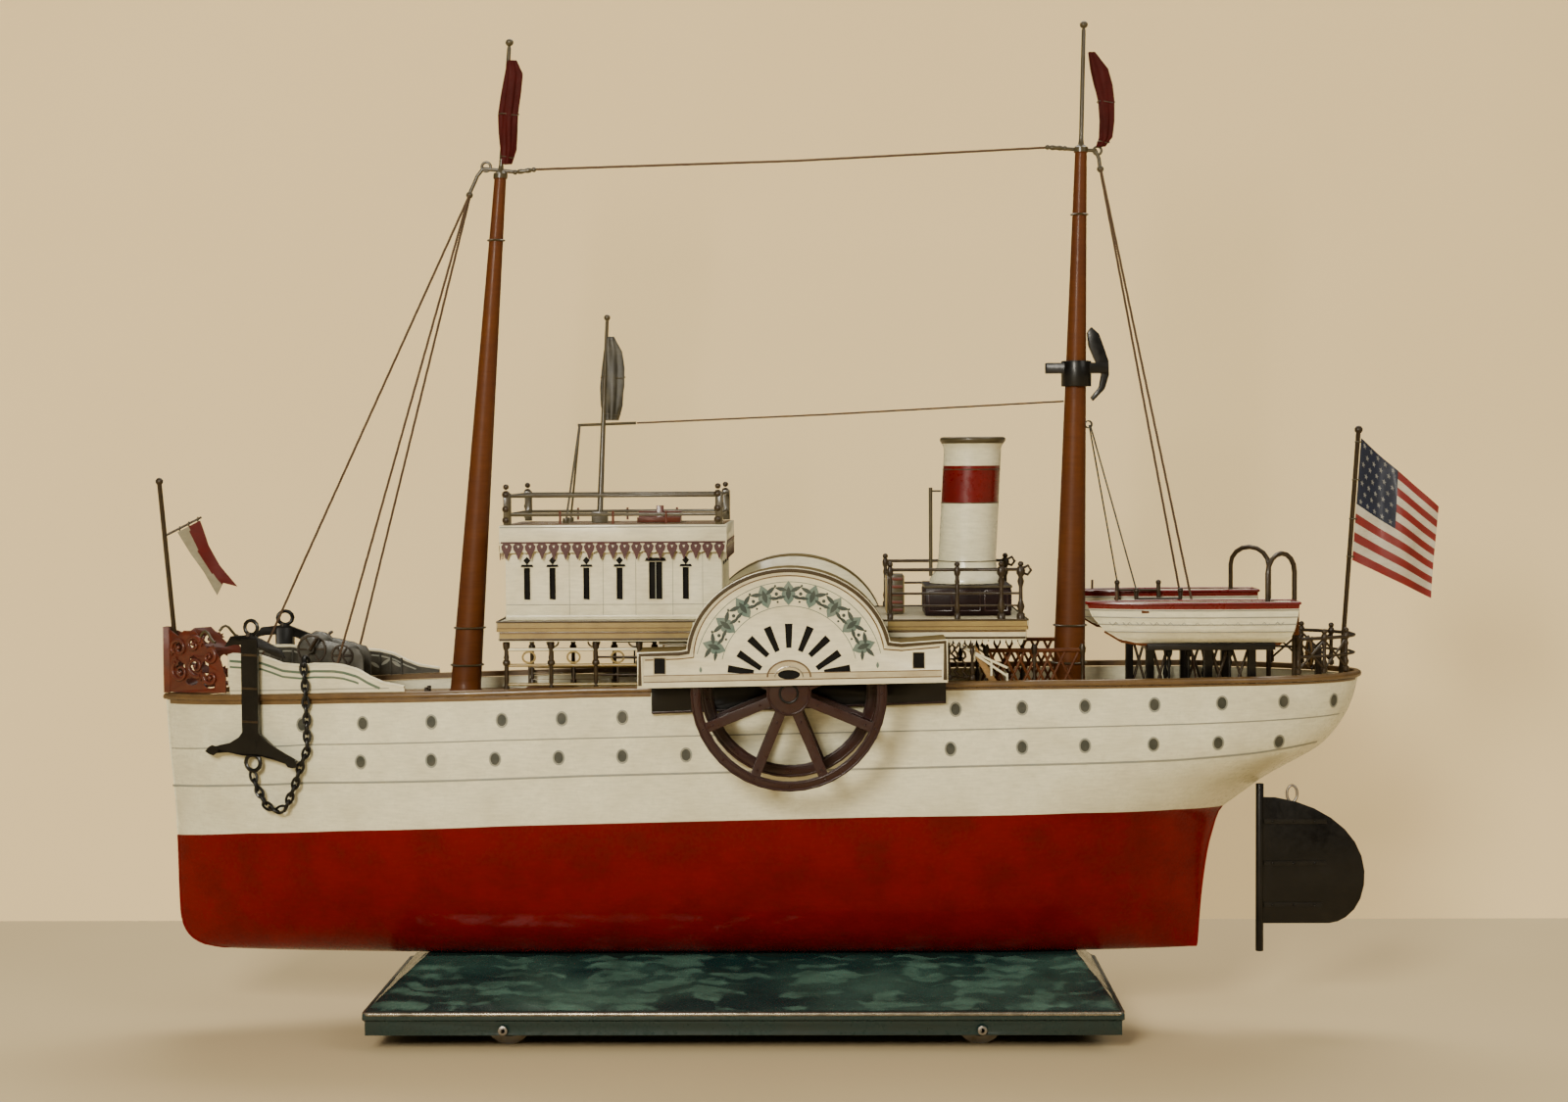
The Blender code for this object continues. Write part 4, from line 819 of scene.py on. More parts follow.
def build_hull_paint():
    """Painted lines and oval ports with a thin lit frame."""
    trim = Tinwork("hull_lines", GREY_LINE)
    for side, _ in SIDES:
        lay = hull_lay(side)
        for table, width in ((UPPER_LINE, 0.55), (LOWER_LINE, 0.9)):
            xs = steps(table[0][0], table[-1][0], 150)
            trim.band([(x, between(table, x)) for x in xs], lay, width, 0.12)
        for x0, x1, drop, width in ((-271, -60, 0.75, 1.7), (58, 236, 0.45, 0.9)):
            trim.band([(x, sheer(x) - drop) for x in steps(x0, x1, 90)], lay, width, 0.3, DARK_OCHRE)
        for x, z in UPPER_PORTS + LOWER_PORTS:
            proud, wide = (0.12, 0.8) if x > COUNTER_X else (0, 1)
            trim.sheet(arc(x, z, 1.9 * wide, 2.5, 0, 337.5, 15), hull_lay(side, proud - 0.05), 0.13, PORT_DARK)
            trim.band(arc(x, z, 2.25 * wide, 2.9, 0, 337.5, 15), hull_lay(side, proud), 0.6, 0.2, closed=True)
    trim.done(slot="white_enamel", crease=30)


def build_moulding():
    """Rounded brown moulding round the deck edge, with the bearing saddles for the shaft."""
    rail = Tinwork("deck_edge", DARK_OCHRE)
    section = ((0.35, 0.3), (-0.9, 0.32), (-1.38, 0.9), (-1.4, 1.5), (-1.15, 2.3), (-0.5, 2.75), (0.7, 2.8),
               (1.55, 2.6), (1.6, 0.4))
    rows = []
    for inset, rise in section:
        x0, x1 = BOW_END + inset, STERN_END - 0.5 - inset
        xs = [x0 + (x1 - x0) * crowd(t) for t in steps(0, 1, 120)]
        rows.append(ring_of([(x, half_breadth(x, x0, x1, BEAM / 2 - inset, STERN_SHARP), sheer(x) + rise)
                             for x in xs]))
    rows.append(rows[0])
    rail.skin(rows, lambda j, k: OCHRE if j in (5, 6) else DARK_OCHRE, wrap=True)
    for side, _ in SIDES:
        y0, y1 = sorted((side * 44.7, side * 46.2))
        for x0, x1, z0 in ((-9.3, -5.9, 147), (0.3, 3.7, 147), (-9.3, 3.7, 150.2)):
            rail.block(x0, x1, y0, y1, z0, 153)
    rail.done(stands_for=("deck_moulding",), slot="ochre_enamel", weld=0.01, crease=40)


# ---------------------------------------------------------------- paddle boxes

BOX_X, FAN_Z = -2.6, 155              # middle of the paddle boxes, centre of their painted fan
BOX_Y = 76                            # breadth of their outer faces
HUB_Z = 153.9


def box_foot(x):
    return 151.05 + 0.0156 * x


def along_foot(x0, x1, rise):
    """Two spots at a height over the box's sloping lower edge."""
    return [(x, box_foot(x) + rise) for x in (x0, x1)]


def box_outline(inset):
    """Side view of the paddle box: low shoulders and a high half-round arch."""
    rx, rz = 40.6 - inset, 35.8 - inset
    right, left = 60 - inset, -62.5 + inset
    low = math.degrees(math.asin((6.4 - inset) / rz))
    high = 180 - math.degrees(math.asin((3.4 - inset) / rz))
    out = along_foot(left, right, inset) + [(right, 168.3 - inset), (42, 167 - inset)]
    out += arc(BOX_X, 161.2, rx, rz, low, high, 48)
    return out + [(-46.5, 164 - inset), (left, 163.6 - inset)]


def petal(cx, cz, angle, long, wide, lean=0):
    """A leaf shape pointing along angle, in the face's own plane."""
    a = math.radians(angle)
    out = []
    for t, w in ((-1, 0), (-0.6, 0.62), (-0.1, 1), (0.45, 0.7), (1, 0), (0.45, -0.7), (-0.1, -1),
                 (-0.6, -0.62)):
        u, v = t * long / 2, w * wide / 2 + lean * t
        out.append((cx + u * math.cos(a) - v * math.sin(a), cz + u * math.sin(a) + v * math.cos(a)))
    return out


def paint_garland(box, side):
    """Leaves and lozenges in the band between the fan and the rim."""
    ground, over = flank(side, BOX_Y - 0.02), flank(side, BOX_Y + 0.05)
    rx, rz = 31.6, 32.4
    for k in range(9):
        angle = 20 + 17.5 * k
        x, z = swing(BOX_X, FAN_Z, rx, angle, rz)
        box.sheet(petal(x, z, angle, 9.8, 5.6), ground, 0.15, TEAL_LEAF)
        box.sheet(petal(x, z, angle, 5.6, 2.2), over, 0.18, DARK_LEAF)
        for turn in (-62, 62):
            for reach, way, aim, long, wide, lean in ((3.4, angle + turn, angle + turn * 1.15, 5.2, 1.8, 0.25),
                                                      (3.7, angle + 180 - turn, angle + 180 - turn * 1.2, 4.4,
                                                       1.5, -0.2)):
                box.sheet(petal(*swing(x, z, reach, way), aim, long, wide, lean), ground, 0.16, DARK_LEAF)
        if k < 8:
            for r, size in ((1, 0.75), (0.9, 0.48), (1.1, 0.48)):
                u, v = swing(BOX_X, FAN_Z, rx * r, angle + 8.75, rz * r)
                box.sheet(arc(u, v, size, size, 0, 315, 7), ground, 0.16, DARK_LEAF)


def build_box_dress(side, tag):
    """Rim, painted garland, little windows and the dark sheets inside one paddle box."""
    box = Tinwork("box_dress_" + tag, RIM_UMBER)
    face, ground = flank(side, BOX_Y), flank(side, BOX_Y - 0.02)
    edge = box_outline(0.62)
    box.band(edge[1:] + edge[:1], flank(side, BOX_Y + 0.8), 1.5, 0.16)
    box.band(box_outline(2.7)[2:], face, 0.55, 0.14, DARK_OCHRE)
    roof = box_outline(-0.1)[2:]
    box.skin([[(u, side * y, v) for u, v in roof] for y in (46.7, 56, 66, 75.1)], ROOF_OLIVE)
    for y in (47.6, 61, 74.4):
        box.band(roof, flank(side, y), 0.1, 0.5)
    box.sheet(along_foot(-60.6, 58.1, 1.9) + along_foot(58.1, -60.6, 4.4), ground, 0.14, BUFF)
    box.band(along_foot(-62.3, 59.8, 0.75), face, 1.3, 0.3, ROOF_OLIVE)
    box.band(along_foot(-60.4, 58, 1.9), face, 0.5, 0.25, DARK_OCHRE)
    box.band(along_foot(-60.4, 58, 4.5), face, 0.35, 0.2, DARK_OCHRE)
    box.sheet(arc(BOX_X, HUB_Z, 8.6, 6.6, 0, 180, 16), ground, 0.16, BUFF)
    box.band(arc(BOX_X, HUB_Z, 8.6, 6.6, 0, 180, 20), face, 0.7, 0.3, DARK_OCHRE)
    box.band(arc(BOX_X, HUB_Z, 5.6, 4.2, 0, 180, 14), face, 0.5, 0.3, BEAD)
    box.sheet(arc(BOX_X, HUB_Z + 1, 4.4, 1.9, 0, 345, 23), face, 0.22, WINDOW_DARK_AND_SHADE)
    paint_garland(box, side)
    for rx, rz in ((27.2, 27.2), (37.4, 36.839)):
        box.band(arc(BOX_X, FAN_Z, rx, rz, 13, 167, 60), face, 0.28, 0.12, TEAL_LEAF)
    for x, z in ((-54, 158.5), (48.9, 160.4)):
        window = (x - 2.3, x + 2.3, z - 3.2, z + 3.2)
        box.plate(*window, face, 0.3, WINDOW_DARK_AND_SHADE)
        box.frame_line(*window, face, 0.5, 0.35, BUFF)
    for x, z in ((-37.7, 157), (32.6, 158.6)):
        box.sheet(petal(x, z, 90, 2.6, 1.2), face, 0.14, TEAL_LEAF)
    box.done(slot="white_enamel", crease=35)
    # Dark sheets inside the box, behind the fan's slots and under its roof.
    dark_inside = Tinwork("box_dark_inside_" + tag, WINDOW_DARK_AND_SHADE)
    dark_inside.sheet(box_outline(2.1), flank(side, 74.25), 0.45)
    under = box_outline(1.5)[3:-1]
    dark_inside.skin([[(u, side * y, v) for u, v in under] for y in (47.95, 60, 74.6)])
    dark_inside.done(slot="white_enamel", crease=40)
    lip = Tinwork("guard_edge_" + tag, MAROON)
    lay = flank(side, 49)
    for x0, x1 in ((-59.3, -6.2), (0.6, 60.8)):
        lip.band(along_foot(x0, x1, -1.1), lay, 0.8, 0.35, DARK_OCHRE)
    lip.band([(-59.3, 137), (60.8, 141)], lay, 0.7, 0.35)
    lip.done(slot="black_enamel", crease=40)


# ---------------------------------------------------------------- flags


def quad_lay(hoist_top, fly_top, fly_bottom, hoist_bottom, wave):
    """Maps a flag's own 0..1 width and drop to the bent sheet."""
    def lay(u, v, h):
        x, z = blend(blend(hoist_top, fly_top, u), blend(hoist_bottom, fly_bottom, u), v)
        return x, wave(u, v) + h, z
    return lay


def flag_skin(piece, lay, columns, rows, thick, paint, hems=None):
    """Both faces and the top, foot, left and right edge of a thin bent sheet."""
    faces = [[[lay(i / columns, j / rows, h) for i in range(columns + 1)] for j in range(rows + 1)]
             for h in (-thick / 2, thick / 2)]
    for face in faces:
        piece.skin(face, paint)
    hems = hems or (lambda j, k: paint(0, k), lambda j, k: paint(rows - 1, k),
                    lambda j, k: paint(k, 0), lambda j, k: paint(k, columns - 1))
    for j, hem in zip((0, -1), hems):
        piece.skin([face[j] for face in faces], hem)
    for k, hem in zip((0, -1), hems[2:]):
        piece.skin([[row[k] for row in face] for face in faces], hem)


def build_ensign():
    """Striped and starred tin ensign, slightly rippled, drooping from its staff."""
    flag = Tinwork("ensign_sheet", FLAG_RED)
    columns, rows = 40, 52

    def wave(u, v):
        return min(1, u * 3) * (2.1 * math.sin(6.2 * u + 2.2 * v) + 1.1 * math.sin(11 * u - 3 * v))

    def paint(j, k):
        stripe = int(j * 13 / rows)
        return FLAG_BLUE if k < 0.47 * columns and stripe < 7 else (FLAG_RED, FLAG_WHITE)[stripe % 2]

    lay = quad_lay((240.4, 248), (273, 218.7), (271, 179.4), (236.8, 196), wave)
    flag_skin(flag, lay, columns, rows, 0.5, paint)
    for side, _ in SIDES:
        for j in range(7):
            odd = j % 2
            for i in range(4 if odd else 5):
                u, v = 0.05 + 0.092 * i + 0.046 * odd, 0.038 + 0.077 * j
                radii = (0.026, 0.011) * 5
                star = [swing(u, v, 0.95 * r, 36 * k - 90, r) for k, r in enumerate(radii)]
                flag.sheet(star, lambda u, v, h: lay(u, v, side * (0.2 + h)), 0.13, STAR_PALE)
    for v in (0.03, 0.34, 0.66, 0.97):
        x, _, z = lay(0, v, 0)
        flag.hoop((x - 1, 0, z), 1.5, 0.3, OLIVE, 12, "z", 6)
    flag.done(stands_for=("ensign",), slot="flag_tin", crease=60)


def build_pennant():
    """Swallow-tailed pennant on its little spar: pale band above, red band below."""
    flag = Tinwork("pennant_sheet", PENNANT_RED)
    left = ((-267.4, 210.6), (-262, 201), (-256, 193), (-250.4, 183.4))
    right = ((-257.6, 215.6), (-254, 205), (-249, 196), (-242, 187))
    rows, columns = 36, 14

    def lay(u, t, h):
        x, z = blend(along(left, t), along(right, t), u)
        notch = max(0, (t - 0.8) / 0.2) * 3.4 * (1 - abs(2 * u - 1))
        return x - notch * 0.5, 0.9 * math.sin(5 * t + 2 * u) * min(1, 3 * t) + h, z + notch

    def paint(j, k):
        return PENNANT_GREY if k < columns * (0.44 - 0.1 * math.sin(3 * j / rows)) else PENNANT_RED

    flag_skin(flag, lay, columns, rows, 0.44, paint, (PENNANT_RED, PENNANT_RED, PENNANT_GREY, PENNANT_RED))
    for t in (0.1, 0.5, 0.9):
        x, z = -267.4 + 9.8 * t, 210.9 + 5 * t
        loop = [(x, *swing(0, z + 0.7, 1, 90 - 36 * k)) for k in range(10)]
        flag.tube(loop, 0.2, OLIVE, sides=5, closed=True)
    flag.done(stands_for=("bow_pennant",), slot="flag_tin", crease=60)


def furled(name, spine, depth, turn, middle=-2.1, paint=FLAG_MAROON, **given):
    """A flag hanging in soft folds from the masthead; spine rows are x, z and half width."""
    flag = Tinwork(name, paint)
    n = 54
    rows = []
    for t in steps(0, 1, 60):
        x, z, w = along(spine, t)
        row = []
        for k in range(n):
            a = math.tau * k / n
            fold = 1 + 0.2 * math.sin(4 * a + turn + 2.6 * t) + 0.09 * math.sin(7 * a - 3 * t)
            y = middle + depth * fold * math.sin(a) * min(1, w / 2.2)
            row.append((x + w * fold * math.cos(a) * 0.84, y, z))
        rows.append(row)
    flag.skin(rows, wrap=True, caps=True)
    for t in (0.08, 0.5):
        x, z, w = along(spine, t)
        loop = [(*swing(x, middle, w + 0.15, 18 * k, depth * 0.9 + 0.1), z + 0.4 * math.sin(math.pi * k / 5))
                for k in range(20)]
        flag.tube(loop, 0.22, OLIVE, sides=5, closed=True)
    flag.done(crease=70, **given)


# ---------------------------------------------------------------- boats

# height, bow end, stern end, half breadth
BOAT_LEVELS = ((164.6, 139, 199, 1.6), (166.4, 131, 201, 4.8), (170.2, 125.4, 202.2, 8.4),
               (176, 120.5, 203.2, 10.2), (181, 118.6, 203.8, 10.8))
BOAT_INSIDE = ((168.9, 134, 198.8, 4.2), (172.4, 127, 200.6, 7.4), (181, 120.8, 202.6, 9.6))
BOAT_Y, BOAT_FOOT, GUNWALE = 46, 164.6, 181
BOAT_COLUMNS = 56


def boat_row(z, table, side):
    """Ring of a boat's skin at a height."""
    x0, x1, half = [between([(q[0], q[i]) for q in table], z) for i in (1, 2, 3)]
    port, star = [], []
    for s in map(crowd, steps(0, 1, BOAT_COLUMNS)):
        w = half * min(1, (1 - (1 - min(1, s / 0.6)) ** 2) ** 0.7)
        w = max(w * (1 - 0.25 * max(0, (s - 0.6) / 0.4) ** 2), 0.5)
        lift = 1.1 * max(0, (z - 172) / 9) * max(0, 0.25 - s) ** 2
        for line, out in ((port, -w), (star, w)):
            line.append((x0 + (x1 - x0) * s, side * BOAT_Y + out, z + lift))
    return port + star[::-1]


def build_boat(side, tag):
    """Clinker-pressed lifeboat: white strakes, red gunwale band, thwarts and lashings."""
    boat = Tinwork("boat_" + tag, WHITE)
    y = side * BOAT_Y
    rows = [boat_row(z, BOAT_LEVELS, side) for z in steps(BOAT_FOOT, GUNWALE, 22)]
    inside = [boat_row(z, BOAT_INSIDE, side) for z in (GUNWALE, 178, 175, 172.4, 170.4, 168.9)]
    boat.skin(rows + inside, lambda j, k: CREAM if j >= 23 else BAND_RED if j >= 19 else WHITE, wrap=True)
    half = len(rows[0]) // 2
    for row, paint in ((rows[0], WHITE), (inside[-1], CREAM)):
        boat.skin([row[:half], row[half:][::-1]], paint)
    for z, r, paint in ((GUNWALE, 0.7, BAND_RED), (178.3, 0.3, GREY_LINE), (175.4, 0.28, GREY_LINE),
                        (172.4, 0.28, GREY_LINE), (169.4, 0.28, GREY_LINE)):
        boat.tube(boat_row(z, BOAT_LEVELS, side), r, paint, sides=7, closed=True)
    for x0, x1, w, z0, z1 in ((190, 195, 8.4, 176.8, 178.3), (140, 143.2, 8.2, 177.2, 178.4),
                              (165, 168.4, 8.9, 177.2, 178.4)):
        boat.block(x0, x1, y - w, y + w, z0, z1, BROWN)
    keel = ((126, 169.4), (133, 165.2), (141, 163.9), (197, 163.9), (200, 166))
    boat.tube([(x, y, z) for x, z in keel], 0.6, BROWN)
    boat.block(203, 205, y - 0.7, y + 0.7, 167.5, GUNWALE, BROWN)
    strake = boat_row(172, BOAT_LEVELS, side)
    for x in [130 + 5.4 * k for k in range(13)]:
        w = max(abs(q[1] - y) for q in strake if abs(q[0] - x) < 3)
        drop = [(x + 2.7 * t, y + side * (w + 0.25 - 0.6 * abs(t)), 173.4 - 1.3 * (1 - (2 * abs(t) - 1) ** 2))
                for t in (-1, -0.5, 0, 0.5, 1)]
        boat.tube(drop, 0.2, GREY_LINE, sides=5)
    boat.done(stands_for=("lifeboat_" + tag,), slot="white_enamel")
    gear = Tinwork("boat_gear_" + tag, CORD)
    for x, z in ((192.6, 178.6), (131, 182.4)):
        gear.tube([(x, side * 44.8, z + 3.4), (x, side * 45.4, z - 0.6)], 0.5)
    for x in (152, 172):
        for z in (179.4, 180.5):
            gear.tube([(x - 18, y - side * 4, z), (x + 20, y - side * 3.4, z + 0.2)], 0.55, BROWN)
    gear.done(slot="olive_enamel", crease=40)


# ---------------------------------------------------------------- funnel, masts and stays

FUNNEL_FOOT, FUNNEL_RAKE = (72, 0, 187.3), 0.05
MAST_FOOT_Z = 138.8


def funnel_spot(h, out=0):
    """Spot on the funnel's raked middle line, or beside it, at a height over its foot."""
    x, y, z = FUNNEL_FOOT
    return x + out + h * FUNNEL_RAKE, y, z + h


def build_funnel():
    """Raked funnel with one broad red band, dark rim and flared foot, and the steam pipe before it."""
    funnel = Tinwork("funnel_tube", WHITE)
    profile = [(15.6, 0), (15.6, 1.4), (15, 2.6), (14.2, 3.8), (13.4, 5), (12.9, 6.4), (12.6, 8.2),
               (12.3, 10)]
    profile += [(12.28 - 0.006 * k, 10 + k) for k in range(2, 48, 2)]
    profile += [(12.1, 57), (12.5, 58.2), (13.2, 59.4), (13.9, 60.4), (14.05, 61.2), (13.8, 61.9), (12.9, 62.2),
                (11.4, 62.2), (10.8, 61.6), (10.8, 50), (10.8, 20), (10.8, 0.2)]

    def paint(j, k):
        h = profile[j][1]
        if j > len(profile) - 4:
            return WINDOW_DARK_AND_SHADE
        return BAND_RED if 33 < h < 48.5 else OLIVE if h >= 59 else WHITE

    funnel.turned(profile, FUNNEL_FOOT, FUNNEL_RAKE, 64, paint, caps=False)
    for h, r in ((34.2, 12.2), (48.4, 12.15), (9.4, 12.5)):
        funnel.hoop(funnel_spot(h), r, 0.22, OLIVE, 48, "z", 6)
    funnel.tube([funnel_spot(h, 12.1) for h in (7, 20, 40, 57)], 0.3, sides=6)
    funnel.post(57, 0, 190, 228, 0.8, OLIVE, 12)
    funnel.tube([(57, 0, 226.5), (61.5, 0, 226.5)], 0.4, OLIVE)
    funnel.done(stands_for=("funnel",), slot="white_enamel", crease=55)
    casing = Tinwork("casing_panels", MAROON)
    walls = [(flank(side, 18), ((55.5, 65), (67, 77), (79, 88.5)), (53.6, 90.4)) for side, _ in SIDES]
    walls += [(end_face(x, out), ((-16, -1.2), (1.2, 16)), (-18.4, 18.4)) for x, out in ((54, -1), (90, 1))]
    for lay, panels, edge in walls:
        for u0, u1 in panels:
            casing.frame_line(u0, u1, 176.2, 184.6, lay, 0.6, 0.35)
        casing.strip(*edge, 186.4, lay, 1, 0.5, OLIVE)
    casing.done(slot="maroon_enamel", crease=40)


def build_mast(name, x, height, hounds, r_foot, lean, hoops):
    """One mast: brown pole on its step, olive topmast and round truck."""
    mast = Tinwork(name, BROWN)
    r_hounds, top = 2.5, hounds - 2
    table = [(r_foot + 1, 0), (r_foot + 1, 2.2), (r_foot + 0.3, 3.2)]
    h = 3.6
    while h < top:
        table.append((r_foot + (r_hounds - r_foot) * h / top, h))
        h += 4
    table.append((r_hounds, top))
    brown = len(table)
    table += [(r_hounds + 0.5, hounds - 1.6), (r_hounds + 0.5, hounds + 0.4), (1.3, hounds + 1.6),
              (0.95, hounds + 4), (0.85, height - 4)]
    table += [swing(0, height - 1.6, 1.7, a, 1.6) for a in range(-70, 80, 20)] + [(0.03, height)]
    foot = (x, 0, MAST_FOOT_Z)
    mast.turned(table, foot, lean, paint=lambda j, k: BROWN if j < brown else OLIVE)
    for h in hoops:
        r = r_foot + (r_hounds - r_foot) * h / top + 0.1
        mast.hoop((x + h * lean, 0, MAST_FOOT_Z + h), r, 0.45, OLIVE, 32, "z", 8, 2)
    return mast


def screw_link(piece, a, b):
    """A rigging screw: slim body with a swelling in the middle and a ball at each end."""
    shape = ((0, 0.5), (0.1, 0.5), (0.16, 0.95), (0.3, 1.15), (0.5, 0.85), (0.7, 1.15), (0.84, 0.95), (0.9, 0.5),
             (1, 0.5))
    piece.tube([blend(a, b, t) for t, _ in shape], [r for _, r in shape], OLIVE, sides=12)
    for end in (a, b):
        piece.knob(end, 1.1, OLIVE)


def build_masts():
    """Both masts with their masthead fittings."""
    fore = build_mast("fore_pole", -143.8, 281.6, 224, 6.6, 0.079, (14, 30, 196))
    fore.tube([(-133.6, 0, 365.4), (-126, 0, 364.6), (-119, 0, 363.8)], 0.8, OLIVE, sides=12)
    fore.hoop((-132.2, 0, 366.2), 1.9, 0.6, OLIVE)
    hook = ((-133.7, 365.2), (-136, 362.4), (-138, 358), (-139.2, 355.4), (-139.6, 353.6))
    fore.tube([(x, 0, z) for x, z in hook], 0.8, OLIVE)
    fore.knob((-139.5, 0, 354.2), 1.5, OLIVE, steps=14)
    screw_link(fore, (-119.8, 0, 363.8), (-111.8, 0, 364.8))
    fore.done(stands_for=("fore_mast",), slot="brown_enamel")
    main = build_mast("main_pole", 115.8, 286.8, 233, 7, 0.024, (14, 30, 205))
    main.tube([(107.6, 0, 372.4), (118, 0, 371.5), (128, 0, 370.8)], 0.8, OLIVE, sides=12)
    screw_link(main, (107.2, 0, 372.4), (114.6, 0, 371.9))
    hook = ((127.6, 370.8), (129, 367.4), (129.4, 364), (129.7, 362.4))
    main.tube([(x, 0, z) for x, z in hook], 0.8, OLIVE)
    main.knob((129.6, 0, 363), 1.5, OLIVE, steps=14)
    main.hoop((128.4, 0, 370.8), 1.7, 0.55, OLIVE)
    main.done(stands_for=("main_mast",), slot="brown_enamel")


def build_rig():
    """Masts, furled flags, guys beside the boats and the laid stays."""
    build_masts()
    furled("fore_flag_folds", ((-123.2, 367, 2.2), (-122.4, 373, 3.4), (-122.3, 380, 3.9), (-122, 388, 4.3),
                               (-120.8, 397, 4.2), (-119.8, 405, 3.9), (-120.6, 410.8, 2.2)),
           1.5, 0.4, stands_for=("fore_flag",), slot="flag_tin")
    furled("main_flag_folds", ((129.6, 372.2, 2), (131.8, 376, 2.9), (132.2, 383, 3.2), (131.8, 391, 3.6),
                               (130.4, 398, 4.4), (128.8, 405, 4.3), (125.8, 412, 1.8)),
           1.5, 2.2, stands_for=("main_flag",), slot="flag_tin")
    furled("signal_flag_folds", ((-79.6, 257.6, 3), (-79.2, 264, 4.6), (-78.8, 272, 5.2), (-78.6, 280, 4.9),
                                 (-78.9, 287, 4.2), (-79.8, 293.4, 1.8)), 1.35, 1.2, 0, IRON_OLIVE,
           slot="olive_enamel")
    runs = {
        "mast_stay": [(-111.6, 0, 364.9), (0, 0, 367.6), (107, 0, 372.3)],
        "signal_stay": [(-68.6, 0, 256.4), (10, 0, 259.4), (113.9, 0, 264.5)],
        "fore_stay": [(-139.6, 0, 354), (-213.8, 0, 195.7), (-239.8, 0, 139)],
    }
    for side, tag in SIDES:
        runs["fore_shroud_" + tag] = [(-139.4, side * 1.3, 354.2), (-199, side * 22.5, 139)]
        runs["main_shroud_" + tag] = [(129.7, side * 1.2, 362.8), (174.2, side * 19, 139)]
        guy = Tinwork("boat_guy_" + tag, IRON_OLIVE)
        y = side * 32.6
        guy.tube([(125, side * 2, 254.3), (140.6, y, 185.6)], 0.34, sides=6)
        guy.hoop((124.4, side * 1.6, 254.6), 1.5, 0.3, None, 16, sides=5)
        for x in (140.6, 158.8):
            guy.post(x, y, 163.4, 184.6, 0.9, POST_DARK, 10)
            guy.knob((x, y, 185.2), 1.2, POST_DARK)
        guy.tube([(140.6, y, 181.8), (158.8, y, 181.8)], 0.5, POST_DARK)
        guy.done(slot="olive_enamel")
    for name, run in runs.items():
        cord = Tinwork(name + "_laid", CORD)
        cord.rope(run, 0.4 if "signal" in name else 0.52, 3.2)
        cord.done(stands_for=(name,), slot="stay_wire", crease=80)


# ---------------------------------------------------------------- deckhouse and promenade

SCALLOP_EDGE = ((0.5, 206.4), (0.92, 205), (0.78, 203.4), (0.4, 202), (0.2, 200.4), (0, 199.2))
HOUSE_Y, SLAB_Y, SKIRT_Y = 34, 45.8, 45      # walls, promenade deck's edge, skirt below it
HOUSE_ENDS = ((-121, -1), (-31, 1))
SLAB_ENDS = ((-123.2, -1), (94.8, 1))
HEAD = 0.3


def scallops(house, lay, u0, u1, count):
    """Hanging leaves of the awning skirt, each with a small pale mark, under one red band."""
    step = (u1 - u0) / count
    for k in range(count):
        u, w = u0 + step * (k + 0.5), step * 0.5
        leaf = [(u - w * 0.5, 206.4)] + [(u + w * s, z) for s, z in SCALLOP_EDGE]
        leaf += [(u - w * s, z) for s, z in SCALLOP_EDGE[-2:0:-1]]
        house.sheet(leaf, lay, 0.28)
        house.sheet([(u - w * 0.2, 205.3), (u, 204.2), (u + w * 0.2, 205.3)], raised(lay, 0.26), 0.1, CREAM)
    house.strip(u0, u1, 206.5, lay, 0.8, 0.4)


def hood(u, low, high, v0, v1):
    """Outline of a window's head, wider below than above."""
    return [(u - low, v0), (u + low, v0), (u + high, v1), (u - high, v1)]


